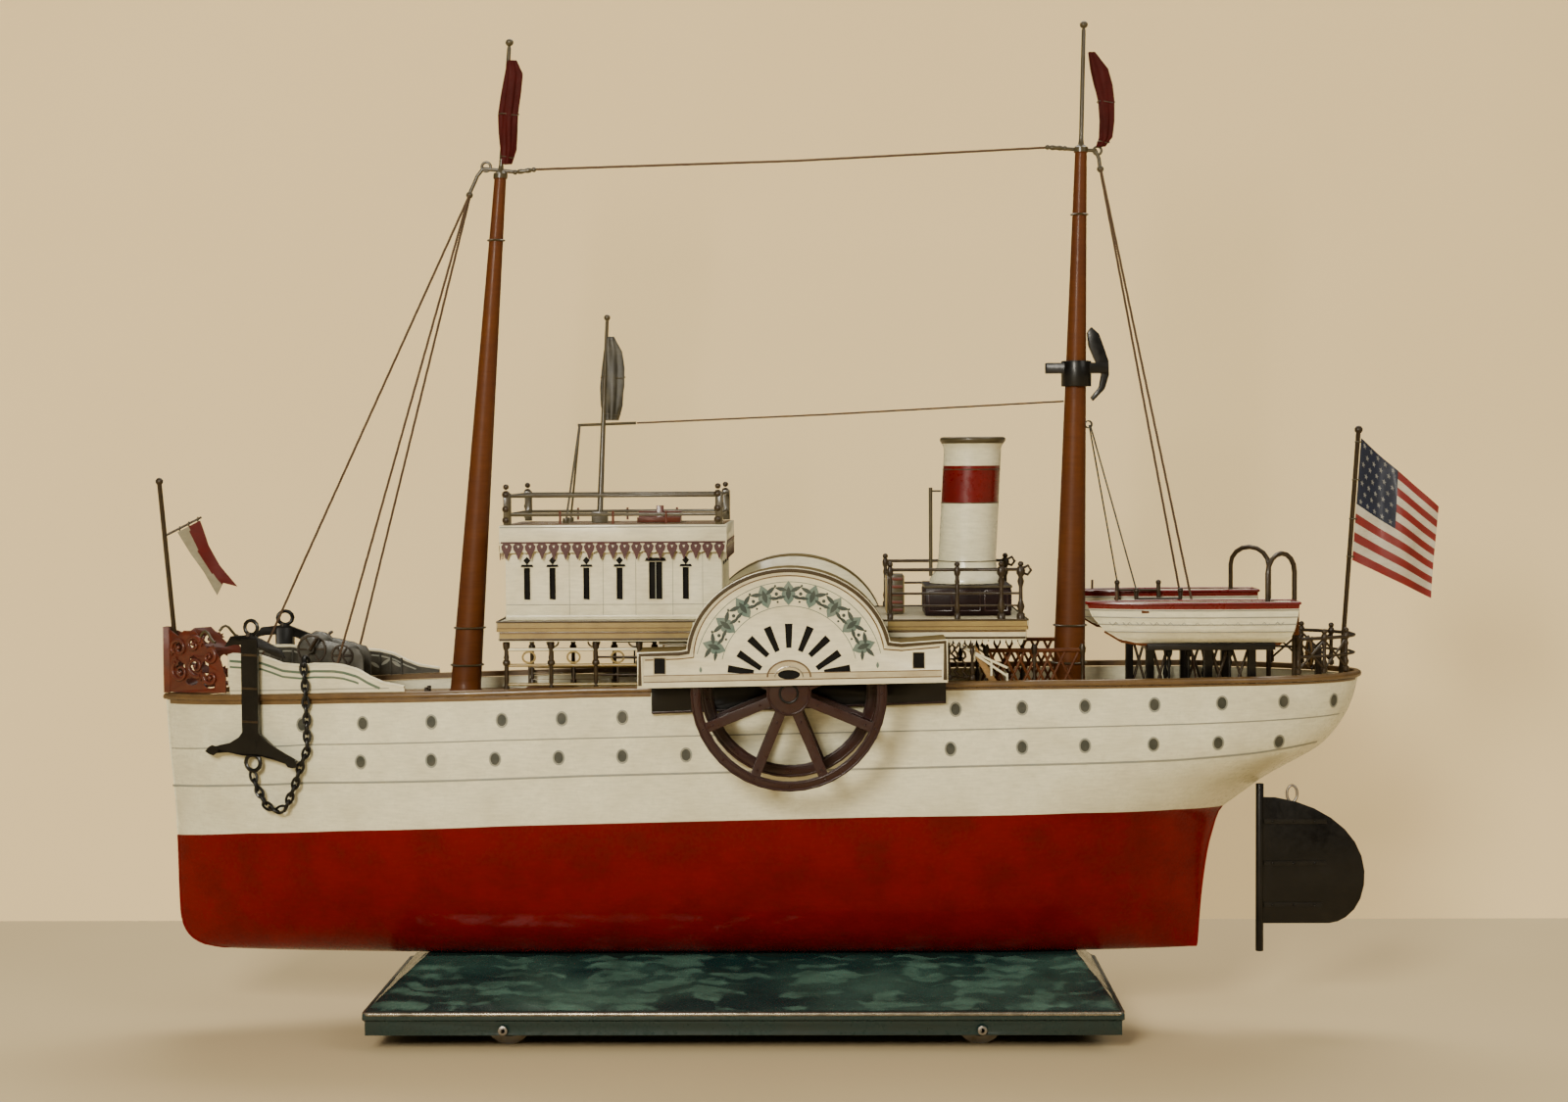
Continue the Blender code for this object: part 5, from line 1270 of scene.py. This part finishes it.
def build_house_dress():
    """Scalloped valance, window heads, frames, a dark box inside as painted shade behind the windows, and the
    lines on the promenade's edge.
    """
    house = Tinwork("house_dress", SCALLOP)
    for side, _ in SIDES:
        wall, slab, skirt = flank(side, HOUSE_Y), flank(side, SLAB_Y), flank(side, SKIRT_Y)
        scallops(house, flank(side, 36.25), -122.6, -29.4, 19)
        house.strip(-123, -29, 212.9, flank(side, 36.4), 0.5, 0.25, GREY_LINE)
        for x in (-112, -101.4, -87.3, -73.5, -46):
            house.frame_line(x - 1.5, x + 1.5, 182.6, 196, wall, 0.45, 0.3, CREAM)
            house.sheet(hood(x, 2.6, 2.2, 196.3, 197.3), wall, HEAD, WINDOW_DARK_AND_SHADE)
            house.sheet([(x - 1.5, 199), (x, 197.2), (x + 1.5, 199), (x, 200.6)], wall, HEAD, WINDOW_DARK_AND_SHADE)
        house.frame_line(-61.5, -55.5, 182.6, 198.4, wall, 0.5, 0.35, CREAM)
        house.stile(-58.5, 182.6, 198.2, wall, 0.35, 0.2, GREY_LINE)
        house.sheet(hood(-58.5, 4.5, 3.9, 198.6, 200), wall, 0.35, WINDOW_DARK_AND_SHADE)
        for x in (-94.4, -80.4, -66.8, -51.4, -39):
            house.stile(x, 176, 203.5, wall, 0.22, 0.1, GREY_LINE)
        house.strip(-120.8, -31.2, 175.6, wall, 0.9, 0.4, CREAM)
        house.strip(-120.8, -31.2, 180.6, wall, 0.3, 0.15, GREY_LINE)
        for u0, u1, z, lay, width, thick, paint in (
                (-123, 94.6, 174.2, slab, 0.8, 0.3, RIM_UMBER),
                (37.4, 94.5, 172, slab, 3.6, 0.14, GOLD_OCHRE),
                (-123, -42.6, 172, slab, 3.6, 0.14, GOLD_OCHRE),
                (-123, 94.6, 171.6, slab, 0.3, 0.24, DARK_OCHRE),
                (-122.2, -42.6, 168.2, skirt, 3.6, 0.12, GOLD_OCHRE),
                (-122.2, 93.8, 166.9, skirt, 0.9, 0.3, RIM_UMBER),
                (-122.2, 93.8, 169.6, skirt, 0.7, 0.24, DARK_OCHRE)):
            house.strip(u0, u1, z, lay, width, thick, paint)
    for x, out in SLAB_ENDS:
        slab, skirt = end_face(x, out), end_face(x - out * 0.8, out)
        for half, z, lay, width, thick, paint in (
                (45.6, 174.2, slab, 0.8, 0.3, RIM_UMBER), (45.6, 172, slab, 3.6, 0.14, GOLD_OCHRE),
                (44.8, 168.2, skirt, 3.6, 0.12, GOLD_OCHRE), (44.8, 166.9, skirt, 0.9, 0.3, RIM_UMBER),
                (44.8, 169.6, skirt, 0.7, 0.24, DARK_OCHRE)):
            house.strip(-half, half, z, lay, width, thick, paint)
    for x, out in HOUSE_ENDS:
        wall = end_face(x, out)
        scallops(house, end_face(x + out * 2.05, out), -36, 36, 15)
        for y in (-18, 0, 18):
            house.frame_line(y - 4, y + 4, 184, 196, wall, 0.6, 0.35, CREAM)
            house.stile(y, 184, 196, wall, 0.4, 0.2, CREAM)
            house.sheet(hood(y, 4.6, 3.8, 196.6, 197.8), wall, HEAD, WINDOW_DARK_AND_SHADE)
        house.strip(-33.8, 33.8, 175.6, wall, 0.9, 0.4, CREAM)
    house.done(slot="white_enamel", crease=30)
    # Painted shade: a dark box inside the cabin, seen through the cut windows.
    inside = Tinwork("cabin_painted_shade", WINDOW_DARK_AND_SHADE)
    x0, x1, y, floor = -119.4, -32.6, 32.4, 174.5
    inside.skin([[(u, v, z) for u, v in box_of(x0, x1, -y, y)] for z in (floor, 190, 204.8)], wrap=True)
    inside.skin([[(x, v, floor) for v in (-y, y)] for x in (x0, x1)])
    inside.done(slot="white_enamel", crease=40)


def build_deck_lines():
    """Plank seams on the three decks, hatches with coamings, and the engine house's panels."""
    deck = Tinwork("plank_seams", BROWN)
    seam, rise = 0.28, 0.07
    main, promenade, bridge = floor_at(138.52), floor_at(174.02), floor_at(213.62, 0.72)
    for k in range(-10, 11):
        y = 4.2 * k
        xs = [x for x in range(-266, 236, 2) if deck_half(x, 2.4) > abs(y) + 0.6]
        deck.strip(xs[0], xs[-1], y, main, seam, rise)
        for q in range(5):
            x = xs[0] + (xs[-1] - xs[0]) * ((q * 0.21 + k * 0.13) % 1)
            deck.stile(x, y - 2, y + 2, main, 0.22, rise)
    for k in range(-9, 10):
        y = 4.6 * k
        deck.strip(-122 if abs(y) > 35 else -29.5, 94, y, promenade, seam, rise, DARK_OCHRE)
        deck.strip(-122, -30, y, bridge, seam, rise, DARK_OCHRE)
    for x0, x1 in ((-118, -96), (150, 168)):
        deck.block(x0, x1, -9, 9, 138.5, 142.6, OCHRE)
        deck.block(x0 + 1.4, x1 - 1.4, -7.6, 7.6, 142.3, 143.4)
        for y in (-3.8, 0, 3.8):
            deck.strip(x0 + 1.6, x1 - 1.6, y, floor_at(143.4), 0.3, 0.06, DARK_OCHRE)
    deck.done(slot="ochre_enamel", crease=40)
    engine = Tinwork("engine_house_panels", OCHRE)
    for side, _ in SIDES:
        wall = flank(side, 40)
        for x in (-50, -34, 26, 42):
            engine.frame_line(x - 5, x + 5, 142, 164, wall, 0.7, 0.4)
            engine.plate(x - 3.4, x + 3.4, 152, 161.6, wall, 0.15, WINDOW_DARK_AND_SHADE)
    for x, out in ((-57, -1), (56, 1)):
        wall = end_face(x, out)
        for y in (-27, -9, 9, 27):
            engine.frame_line(y - 6, y + 6, 141, 165, wall, 0.7, 0.4)
            engine.plate(y - 4.2, y + 4.2, 152, 162.6, wall, 0.15, WINDOW_DARK_AND_SHADE)
            engine.stile(y, 152, 162.6, wall, 0.5, 0.3)
    engine.done(slot="white_enamel", crease=40)


# ---------------------------------------------------------------- bow

BULWARK = ((-240, 159.4), (-225, 159), (-220, 157.6), (-215, 156), (-206.5, 155.5), (-201, 156.2),
           (-192.5, 156.3), (-188, 155.8), (-182, 154.2), (-177, 151.4), (-171, 148.9), (-162, 147.4))


def bulwark_top(x):
    return between(BULWARK, x)


def build_bulwark(side, tag):
    """Curved tin bulwark: pale outside with painted lines, dark inside, wire rolled in its top edge."""
    wall = Tinwork("bulwark_sheet_" + tag, CREAM)
    xs = steps(BULWARK[0][0], BULWARK[-1][0], 60)
    levels = steps(0, 1, 8)

    def line(t, out):
        return [(x, side * (deck_half(x, 0.4) + out),
                 (sheer(x) + 2.9) * (1 - t) + (bulwark_top(x) - 0.2) * t) for x in xs]

    def stripe(rule, drop, end, lay, width, thick, paint):
        """Band that follows a height rule from the bow to an end."""
        wall.band([(x, rule(x) - drop) for x in xs if x < end], lay, width, thick, paint)

    outer, inner = [[line(t, out) for t in levels] for out in (0.6, -0.6)]
    wall.skin(outer + inner[::-1] + outer[:1], lambda j, k: IRON_OLIVE if j >= 9 else CREAM)
    for k in (0, -1):
        wall.skin([[row[k] for row in rows] for rows in (outer, inner)])
    top = [(x, side * deck_half(x, 0.4), bulwark_top(x)) for x in xs]
    wall.tube([(*top[0][:2], 146)] + top, 0.8)
    outside, inside = deck_lay(side, 0.4, 0.6), deck_lay(side, 0.4, 0.6, -1)
    stripe(bulwark_top, 2.7, -172, outside, 1.1, 0.12, GREEN_LINE)
    stripe(bulwark_top, 5.2, -181, outside, 0.9, 0.1, GREEN_LINE)
    stripe(sheer, -4.4, -168, outside, 0.4, 0.1, GREY_LINE)
    for k in range(13):
        x = -236 + 4.6 * k
        low, high = sheer(x) + 3, bulwark_top(x) - 1
        leaf = petal(x, sheer(x) + 7.6 + 1.2 * (k % 2), 35 if k % 2 else -35, 5.4, 1.5)
        wall.sheet(leaf, inside, 0.25, GREY_LINE)
        wall.tube([inside(x + 2.2, z, 0.3) for z in (low, high)], 0.5, IRON_OLIVE, sides=6)
    stripe(bulwark_top, 2.2, -172, inside, 0.6, 0.25, GREY_LINE)
    wall.done(stands_for=("bulwark_" + tag,), slot="white_enamel", crease=40)


def build_scroll_work(side, tag):
    """Cast scrolls of leaf and curl laid over the pierced bow plates."""
    work = Tinwork("scroll_curls_" + tag, SCROLL)
    lay = deck_lay(side, 0.6, 0.7)
    # centre, inner and outer radius, start angle and turns of each curl
    curls = (((-265.5, 161), 0.5, 4.3, 200, -1.3), ((-257.6, 163), 0.4, 3.8, 20, 1.3),
             ((-265, 151), 0.5, 4.6, 120, 1.4), ((-256.6, 153.6), 0.5, 4.5, 300, -1.4),
             ((-249.8, 158.2), 0.3, 3.4, 60, -1.2), ((-249.4, 149.4), 0.3, 3.3, 180, 1.2))
    for centre, r0, r1, start, turns in curls:
        shares = steps(0, 1, 34)
        line = [swing(*centre, r1 + (r0 - r1) * t, start + 360 * turns * t) for t in shares]
        work.tube([lay(u, v, 0.3) for u, v in line], [0.95 - 0.5 * t for t in shares])
        work.knob(lay(*line[-1], 0.5), 0.95, steps=10)
        for turn in (-30, 20, 70):
            work.sheet(petal(*line[0], start + turn, 4.4, 1.6), lay, 0.6)
    work.tube([lay(-254 + 1.2 * k, 166.6 + 2.4 * math.sin(0.8 * k), 0.2) for k in range(7)], 0.6, OLIVE)
    work.done(slot="brown_enamel")


# ---------------------------------------------------------------- chains, rails and fittings


def resample(points, pitch):
    """Evenly spaced spots along a bent line, each with its direction."""
    points = [Vector(p) for p in points]
    out, carry = [], 0
    for a, b in zip(points, points[1:]):
        length = (b - a).length
        t = carry
        while t < length:
            out.append((a.lerp(b, t / length), (b - a).normalized()))
            t += pitch
        carry = t - length
    return out


def chain(piece, points, pitch, wide, wire):
    """Oval links threaded through one another, every second one turned a quarter."""
    for k, (centre, way) in enumerate(resample(points, pitch)):
        flat = way.cross(Vector((0, 1, 0)))
        if flat.length < 0.2:
            flat = Vector((1, 0, 0)).cross(way)
        flat.normalize()
        across = flat if k % 2 == 0 else way.cross(flat)
        link = [centre + way * c + across * s for c, s in arc(0, 0, pitch * 0.74, wide, 0, 330, 11)]
        piece.tube(link, wire, sides=6, closed=True)


def build_ground_tackle(side, tag):
    """Stud-less anchor chain, the anchor's palms and bands, and the lashing at its ring."""
    tackle = Tinwork("chain_links_" + tag, BLACK)
    path = [(-228.5, 108.6), (-227, 104), (-222.6, 96.8), (-218, 94.6), (-213.6, 96.6), (-209.5, 106),
            (-206.5, 115), (-203.8, 121), (-203.8, 131), (-204.5, 150), (-205, 155.6)]
    points = [(x, side * deck_half(x, -2.9), z) for x, z in path]
    rail_y = deck_half(-205, 0.4)
    points += [(-205, side * (rail_y + out), z) for out, z in ((1.4, 157.6), (-1.4, 157.6), (-3, 155))]
    chain(tackle, points, 3.5, 1.35, 0.62)
    tackle.done(stands_for=("anchor_chain_" + tag,), slot="black_enamel", crease=60)
    palms = Tinwork("anchor_palms_" + tag, BLACK)
    lay = deck_lay(side, -3.4, 1.5)
    for x, z, turn in ((-247.6, 119, 190), (-210.6, 115.4, -28)):
        palms.sheet(petal(x, z, turn, 7, 4.4), lay, 0.8)
    arms = [(-249, 119.6), (-244, 121.4), (-239, 122.6), (-234.6, 125.2), (-232.9, 127.4), (-225.2, 127.4),
            (-223, 124.8), (-217.6, 121.6), (-208.6, 117), (-209.6, 115), (-219, 117.4), (-226, 118.4),
            (-233, 118.4), (-240, 119)]
    palms.sheet(arms, lay, 0.6)
    palms.plate(-232.9, -225.2, 124, 166.6, lay, 0.7)
    for z in (132, 146, 160):
        palms.strip(-232.7, -225.3, z, raised(lay, 0.65), 1, 0.45, POST_DARK)
    palms.sheet(arc(-228.5, 122.3, 2.4, 2.4, 0, 337.5, 15), lay, 0.7)
    stock_y = deck_half(-228.5, -3.4)
    palms.tube([(-229.6, side * (stock_y + out), 168.4) for out in (-1.9, 1.9)], 0.8, POST_DARK, sides=10)
    palms.done(slot="black_enamel", crease=40)


def baluster(piece, x, y, z0, z1, wide, paint=None):
    """A small turned post: square foot, swelling, neck and cap."""
    shape = ((0, 1), (0.1, 1), (0.13, 0.55), (0.24, 0.95), (0.36, 0.5), (0.6, 0.42), (0.72, 0.85), (0.8, 0.5),
             (0.86, 1), (0.93, 1.1), (1, 0.7))
    piece.tube([(x, y, z0 + (z1 - z0) * t) for t, _ in shape], [wide * r for _, r in shape], paint, sides=10)


def level_rail(piece, x0, x1, y, z, r, paint=None, sides=8):
    piece.tube([(x0, y, z), (x1, y, z)], r, paint, sides)


def cross_braces(piece, x0, x1, y, z0, z1, r, paint=None, sides=8):
    for a, b in ((x0, x1), (x1, x0)):
        piece.tube([(a, y, z0), (b, y, z1)], r, paint, sides)


def build_promenade_rails(side, tag):
    """Turned posts, knobs and scroll rails on the promenade, below it and beside the main mast."""
    rail = Tinwork("rail_turning_" + tag, POST_DARK)
    y = side * 43
    for x in (38.5, 66, 84, 92):
        baluster(rail, x, y, 174.3, 196, 1.25 if x < 80 else 1.7)
        rail.knob((x, y, 197), 1.2)
    curl = ((92.4, 195), (95, 196.4), (96.2, 194.4), (94.8, 192.6), (93, 193.4))
    rail.tube([(x, y, z) for x, z in curl], 0.6)
    level_rail(rail, 38, 92.5, y, 180, 0.4)
    y = side * 43.4
    for x in (62.4, 72):
        baluster(rail, x, y, 149.6, 165.8, 1.3)
    for x in (65.6, 68.8):
        rail.tube([(x + 0.9 * math.sin(2.2 * k), y, 150 + 1.5 * k) for k in range(11)], 0.55, sides=7)
    for z in (150.6, 164.6):
        level_rail(rail, 62, 72.4, y, z, 0.45, sides=7)
    y = side * 41.9
    for lift in (3.2, 6.6):
        rail.tube([(67.5, y, 164.4 - 0.2 * lift), (86.5, y, 147.6 + lift)], 0.55, CREAM)
    for x in (73, 80, 86.5):
        z = 164.4 - 16.8 * (x - 67.5) / 19
        rail.post(x, y, z - 2.4, z + 4.4, 0.45, CREAM, 7)
    y = side * 41
    for x in (-120, -101.5, -83, -65):
        baluster(rail, x, y, 139.4, 167, 1.35)
        rail.knob((x, y, 157), 1.6)
    for x in (-110.7, -92.2, -74):
        loop = arc(x, 159.3, 2.6, 2.3, 0, 337.5, 15)
        rail.tube([(u, y, v) for u, v in loop], 0.4, GOLD_OCHRE, sides=6, closed=True)
        rail.post(x, y, 148, 156, 0.4, sides=6)
    for z, paint in ((148, GOLD_OCHRE), (156, GOLD_OCHRE), (162.5, CREAM)):
        level_rail(rail, -120.2, -64.8, y, z, 0.66, paint)
    y = side * 30
    for x in [80 + 5.6 * k for k in range(6)]:
        cross_braces(rail, x, x + 9, y, 141, 160, 0.6, BROWN, 7)
    for z in (140.6, 160.4):
        level_rail(rail, 78.6, 118.6, y, z, 0.9, BROWN)
    for x in (78.6, 98.6, 118.6):
        baluster(rail, x, y, 138.9, 163, 1.3)
    for x in [63 + 2.4 * k for k in range(13)]:
        tooth = [(x - 1.15, 166.2), (x + 1.15, 166.2), (x + 0.7, 164.6), (x, 163.6), (x - 0.7, 164.6)]
        rail.sheet(tooth, flank(side, 44.2), 0.5, CREAM)
    for z in (142.6, 145.4, 148.2):
        rail.strip(-120, -64, z, flank(side, 40), 0.3, 0.12, GOLD_OCHRE)
    rail.done(slot="olive_enamel")


def build_rail_dress(side, tag):
    """Turned posts and knobs of all the ship's light railings and of the boat's cradle."""
    build_promenade_rails(side, tag)
    bridge = Tinwork("bridge_knobs_" + tag, POST_DARK)
    y = side * 34.4
    for x in (-120.4, -32.4):
        for z, r in ((215.8, 1.7), (220.4, 1.7), (226.4, 1.7), (229.6, 1.2)):
            bridge.knob((x, y, z), r)
    for x in (-98, -76, -54):
        bridge.post(x, y, 214.2, 219.5, 0.5, SCROLL)
    bridge.done(slot="olive_enamel")
    stern = Tinwork("stern_posts_" + tag, POST_DARK)
    posts = (208, 220, 231)
    for x in posts:
        baluster(stern, x, side * deck_half(x, 2.2), 150.2, 166.2, 1.35)
        stern.knob((x, side * deck_half(x, 2.2), 167.2), 1.2)
    for a, b in zip(posts, posts[1:]):
        for za, zb in ((151.6, 163.6), (163.6, 151.6)):
            run = zip(steps(a, b, 4), steps(za, zb, 4))
            stern.tube([(x, side * deck_half(x, 2.2), z) for x, z in run], 0.5, sides=7)
    stern.done(slot="olive_enamel")
    cradle = Tinwork("cradle_braces_" + tag, POST_DARK)
    y = side * 33.4
    for x in (154, 162, 179):
        baluster(cradle, x, y, 139.4, 161.8, 1.3, BLACK)
    for a, b in ((147.5, 153), (171.5, 178), (180, 186.5)):
        cross_braces(cradle, a, b, y, 140.6, 160.6, 0.6)
    for x in (147, 158, 169, 180, 191):
        cradle.tube([(x, side * 37.4, 164.2), (x, side * 40, 165), (x, side * 43.6, 164.4)], 0.5)
    cradle.done(slot="black_enamel")


# ---------------------------------------------------------------- wheels and small fittings

PADDLE_X, PADDLE_Z = -2.8, 147
AXLE_Z = 7.35
HELM_X, HELM_Z = 219, 156.5
SLOW_BARREL, FAST_BARREL = (-208, 160.4), (-195, 157.6)


def build_wheel_dress():
    """Rolled rims, rivets, hub bosses and float edges of the wheels, and the turned parts of the axles."""
    for side, tag in SIDES:
        wheel = Tinwork("wheel_rims_" + tag, MAROON)
        for y, rims in ((73.3, (38.6, 36)), (71.5, (38.6,)), (52.3, (35.6, 32.2)), (50.5, (35.6,))):
            for r in rims:
                wheel.hoop((PADDLE_X, side * y, PADDLE_Z), r, 0.42, None, 72)
        for y, rivets in ((73.35, (37.3, 33, 12.4)), (52.35, (33.9, 29, 12.4))):
            for k in range(16):
                for r in rivets:
                    if k % 2 or r > 33.5:
                        x, z = swing(PADDLE_X, PADDLE_Z, r, 22.5 * k)
                        wheel.knob((x, side * y, z), 0.5, steps=8)
            wheel.hoop((PADDLE_X, side * y, PADDLE_Z), 8.2, 0.45, None, 40)
            wheel.hoop((PADDLE_X, side * y, PADDLE_Z), 3.6, 0.5, BLACK, 28)
        for k in range(8):
            angle = 22.5 + 45 * k
            for r in (27.2, 35.9):
                x, z = swing(PADDLE_X, PADDLE_Z, r, angle)
                wheel.tube([(x, side * 52.6, z), (x, side * 71, z)], 0.62)
            for y in (58, 66):
                x, z = swing(PADDLE_X, PADDLE_Z, 31.5, angle)
                wheel.knob((x, side * y, z), 0.75, steps=8)
        wheel.done(body="paddles", slot="maroon_enamel")
    for x, body in ((-121, "front_axle"), (75, "rear_axle")):
        turned = Tinwork(body + "_rims", STEEL)
        for side, _ in SIDES:
            for y in (33.7, 38.3):
                turned.hoop((x, side * y, AXLE_Z), 9.7, 0.28, None, 48, sides=6)
                turned.hoop((x, side * y, AXLE_Z), 6.6, 0.35, IRON_OLIVE, 36, sides=6)
            for y0, y1, r in ((32.2, 33.4, 2.4), (38.6, 39.8, 2.4), (56.3, 57, 1.9)):
                low, high = sorted((side * y0, side * y1))
                collar = [(r * 0.7, low), (r, low + 0.2), (r, high - 0.2), (r * 0.7, high)]
                turned.turned(collar, (x, 0, AXLE_Z), steps=24, axis="y")
        turned.done(body=body, slot="tinned_steel")


def build_helm():
    """Handles and rims of the steering wheel."""
    helm = Tinwork("helm_handles", POST_DARK)
    for k in range(6):
        grip = [(HELM_X, *swing(0, HELM_Z, r, 60 * k)) for r in (5.6, 6.4, 7.6, 8.2)]
        helm.tube(grip, [0.4, 0.75, 0.6, 0.3])
    for r in (5, 6.2):
        helm.hoop((HELM_X - 0.5, 0, HELM_Z), r, 0.32, OCHRE, 36, "x", 6)
    helm.knob((HELM_X - 1.2, 0, HELM_Z), 1.2, OCHRE)
    helm.done(slot="olive_enamel")


def build_rudder_dress():
    """Shackle at the rudder's head and straps with rivets on its blade."""
    shackle = Tinwork("rudder_shackle", STEEL)
    shackle.tube([(x, 0, z) for x, z in arc(211.4, 95.8, 2.2, 3.6, 0, 342, 19)], 0.6, closed=True)
    shackle.done(body="rudder", slot="tinned_steel")
    straps = Tinwork("rudder_straps", BLACK)
    for z, end in ((48, 224), (66, 226), (84, 226)):
        for side, _ in SIDES:
            straps.strip(199.4, end, z, flank(side, 0.9), 2.2, 0.35)
            for x in (203, 212, 221):
                straps.knob((x, side * 1.2, z), 0.55, steps=8)
    straps.done(body="rudder", slot="black_enamel")


def build_windlass_dress():
    """Spoked ends, staves and cranks of the windlass."""
    barrel = Tinwork("windlass_barrel", POST_DARK)
    for y in (-8.9, 8.9):
        for r, (x, z) in ((5.9, SLOW_BARREL), (4.4, FAST_BARREL)):
            barrel.hoop((x, y, z), r, 0.5, None, 24, sides=6)
            for k in range(6):
                u, v = swing(x, z, r, 60 * k)
                barrel.tube([(x, y, z), (u, y, v)], 0.45, sides=6)
    for k in range(9):
        for (x, z), r, wire, count in ((SLOW_BARREL, 5.3, 0.75, 20), (FAST_BARREL, 3.9, 0.7, 16)):
            barrel.hoop((x, -6.4 + 1.6 * k, z), r, wire, IRON_OLIVE, count, sides=6)
    for side, _ in SIDES:
        crank = ((-208, 12, 160.4), (-208, 12.6, 160.4), (-204.6, 12.6, 166), (-204.6, 15.6, 166))
        barrel.tube([(x, side * y, z) for x, y, z in crank], 0.7)
    barrel.done(slot="black_enamel")


def build_small_fittings():
    """Rudder, windlass and locker fittings, the coats round the masts' feet and the mooring bitts."""
    build_rudder_dress()
    build_windlass_dress()
    locker = Tinwork("locker_slats", SCROLL)
    slats = [176 + 3.3 * k for k in range(5)]
    for x, out in ((38, -1), (45, 1)):
        lay = end_face(x, out)
        for z in slats:
            locker.strip(-5.6, 5.6, z, lay, 1.2, 0.4)
        for y in (-5.2, 5.2):
            locker.stile(y, 174.8, 190.4, lay, 1, 0.5, GOLD_OCHRE)
    for side, _ in SIDES:
        for z in slats:
            locker.strip(38.4, 44.6, z, flank(side, 6), 1.2, 0.4)
    locker.done(slot="olive_enamel")
    coats = Tinwork("mast_coats", OCHRE)
    for x, r in ((-143.8, 8), (115.8, 8.4)):
        coats.hoop((x, 0, 139.3), r, 0.9, None, 32, "z")
    for x in (-160, -226, 128, 180):
        for y in (-3.4, 3.4):
            coats.post(x, y, 138.4, 143.4, 0.9, POST_DARK, 10)
        coats.tube([(x, -5.2, 142.4), (x, 5.2, 142.4)], 0.7, POST_DARK, sides=10)
    coats.done(slot="ochre_enamel")


# ---------------------------------------------------------------- stand


def build_waves():
    """Sheet painted as waves over the stand, and its bright rolled bead."""
    sea = Tinwork("wave_sheet", SEA)
    x0, x1, y0 = -178, 132, 55

    def ripple(x, y, t):
        first = 0.24 * math.sin(0.23 * x + 2.2 * math.sin(0.13 * y + 0.05 * x) + 3.1 * t)
        return first + 0.15 * math.sin(0.11 * x - 0.42 * y + 1.7 * math.sin(0.08 * x))

    def ring(t):
        """Rectangle a share t of the way from the rim up to the keel."""
        a, b, y, z = blend((x0 + 0.9, x1 - 0.9, y0 - 0.9, 14.95), (-159, 118, 12, 29.78), t)
        fade = min(1, t * 8) * min(1, (1 - t) * 5)
        corners = box_of(a, b, -y, y)
        out = []
        for start, end, n in zip(corners, corners[1:] + corners[:1], (110, 36, 110, 36)):
            for u, v in [blend(start, end, k / n) for k in range(n)]:
                out.append((u, v, z + fade * (0.58 + ripple(u, v, t))))
        return out

    sea.skin([ring(t) for t in steps(0, 1, 34)], wrap=True)
    bead = []
    for cx, cy, a0 in ((x1 - 2, y0 - 2, 0), (x0 + 2, y0 - 2, 90), (x0 + 2, -y0 + 2, 180), (x1 - 2, -y0 + 2, 270)):
        bead += [(x, y, 13.9) for x, y in arc(cx, cy, 2.5, 2.5, a0, a0 + 90, 4)]
    sea.tube(bead, 0.85, BEAD, sides=12, closed=True)
    sea.done(slot="teal_enamel", crease=70)


# ---------------------------------------------------------------- CAD nodes that keep their shape

# finish of each node, both sides alike; what isn't named is cord
NODE_FINISH = (
    (CREAM, "engine_house promenade_deck deckhouse bridge_deck paddle_box bulwark lifeboat"),
    (POST_DARK, "promenade_posts promenade_rail jackstaff davit stern_rail steering_wheel ensign_staff"),
    (BLACK, "guard anchor anchor_chain boat_cradle rudder lookout"), (WHITE, "funnel hull"),
    (OLIVE, "deck_locker bridge_rail signal_mast"), (SCROLL, "bow_scroll bridge_bench"),
    (STEEL, "stand_axle_front stand_axle_rear"), (BROWN, "fore_mast main_mast"), (FLAG_RED, "ensign bow_pennant"),
    (FLAG_MAROON, "fore_flag main_flag"), (DECK_TAN, "main_deck"), (CASING_PLUM, "funnel_casing"),
    (MAROON, "paddle_wheels"), (OCHRE, "stair"), (IRON_OLIVE, "windlass"), (SKIRT, "stand_body"),
    (DARK_OCHRE, "deck_moulding"),
)


def dress_cad():
    """Finishes, softened edges and shading for the nodes that stay as they are."""
    finish = {word: paint for paint, words in NODE_FINISH for word in words.split()}
    for name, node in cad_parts.items():
        paint = finish.get(name.removesuffix("_port").removesuffix("_starboard"), CORD)
        if not node.data.materials:
            node.data.materials.append(paint)
        for k in range(len(node.data.materials)):
            node.data.materials[k] = paint
        for poly in node.data.polygons:
            poly.use_smooth = True
        weld = node.modifiers.new("solder", "WELD")
        weld.merge_threshold = 0.000004
        soft = node.modifiers.new("soft_edges", "BEVEL")
        soft.width = 0.00014
        soft.segments = 2
        soft.limit_method = "ANGLE"
        soft.angle_limit = math.radians(50)
        soft.use_clamp_overlap = True
        split = node.modifiers.new("crease", "EDGE_SPLIT")
        split.split_angle = math.radians(46)


set_camera()
set_studio()
dress_cad()
build_hull()
build_hull_paint()
build_moulding()
for side, tag in SIDES:
    for build in (build_box_dress, build_boat, build_bulwark, build_scroll_work, build_ground_tackle,
                  build_rail_dress):
        build(side, tag)
build_small_fittings()
build_wheel_dress()
build_helm()
build_ensign()
build_pennant()
build_funnel()
build_rig()
build_house_dress()
build_deck_lines()
build_waves()
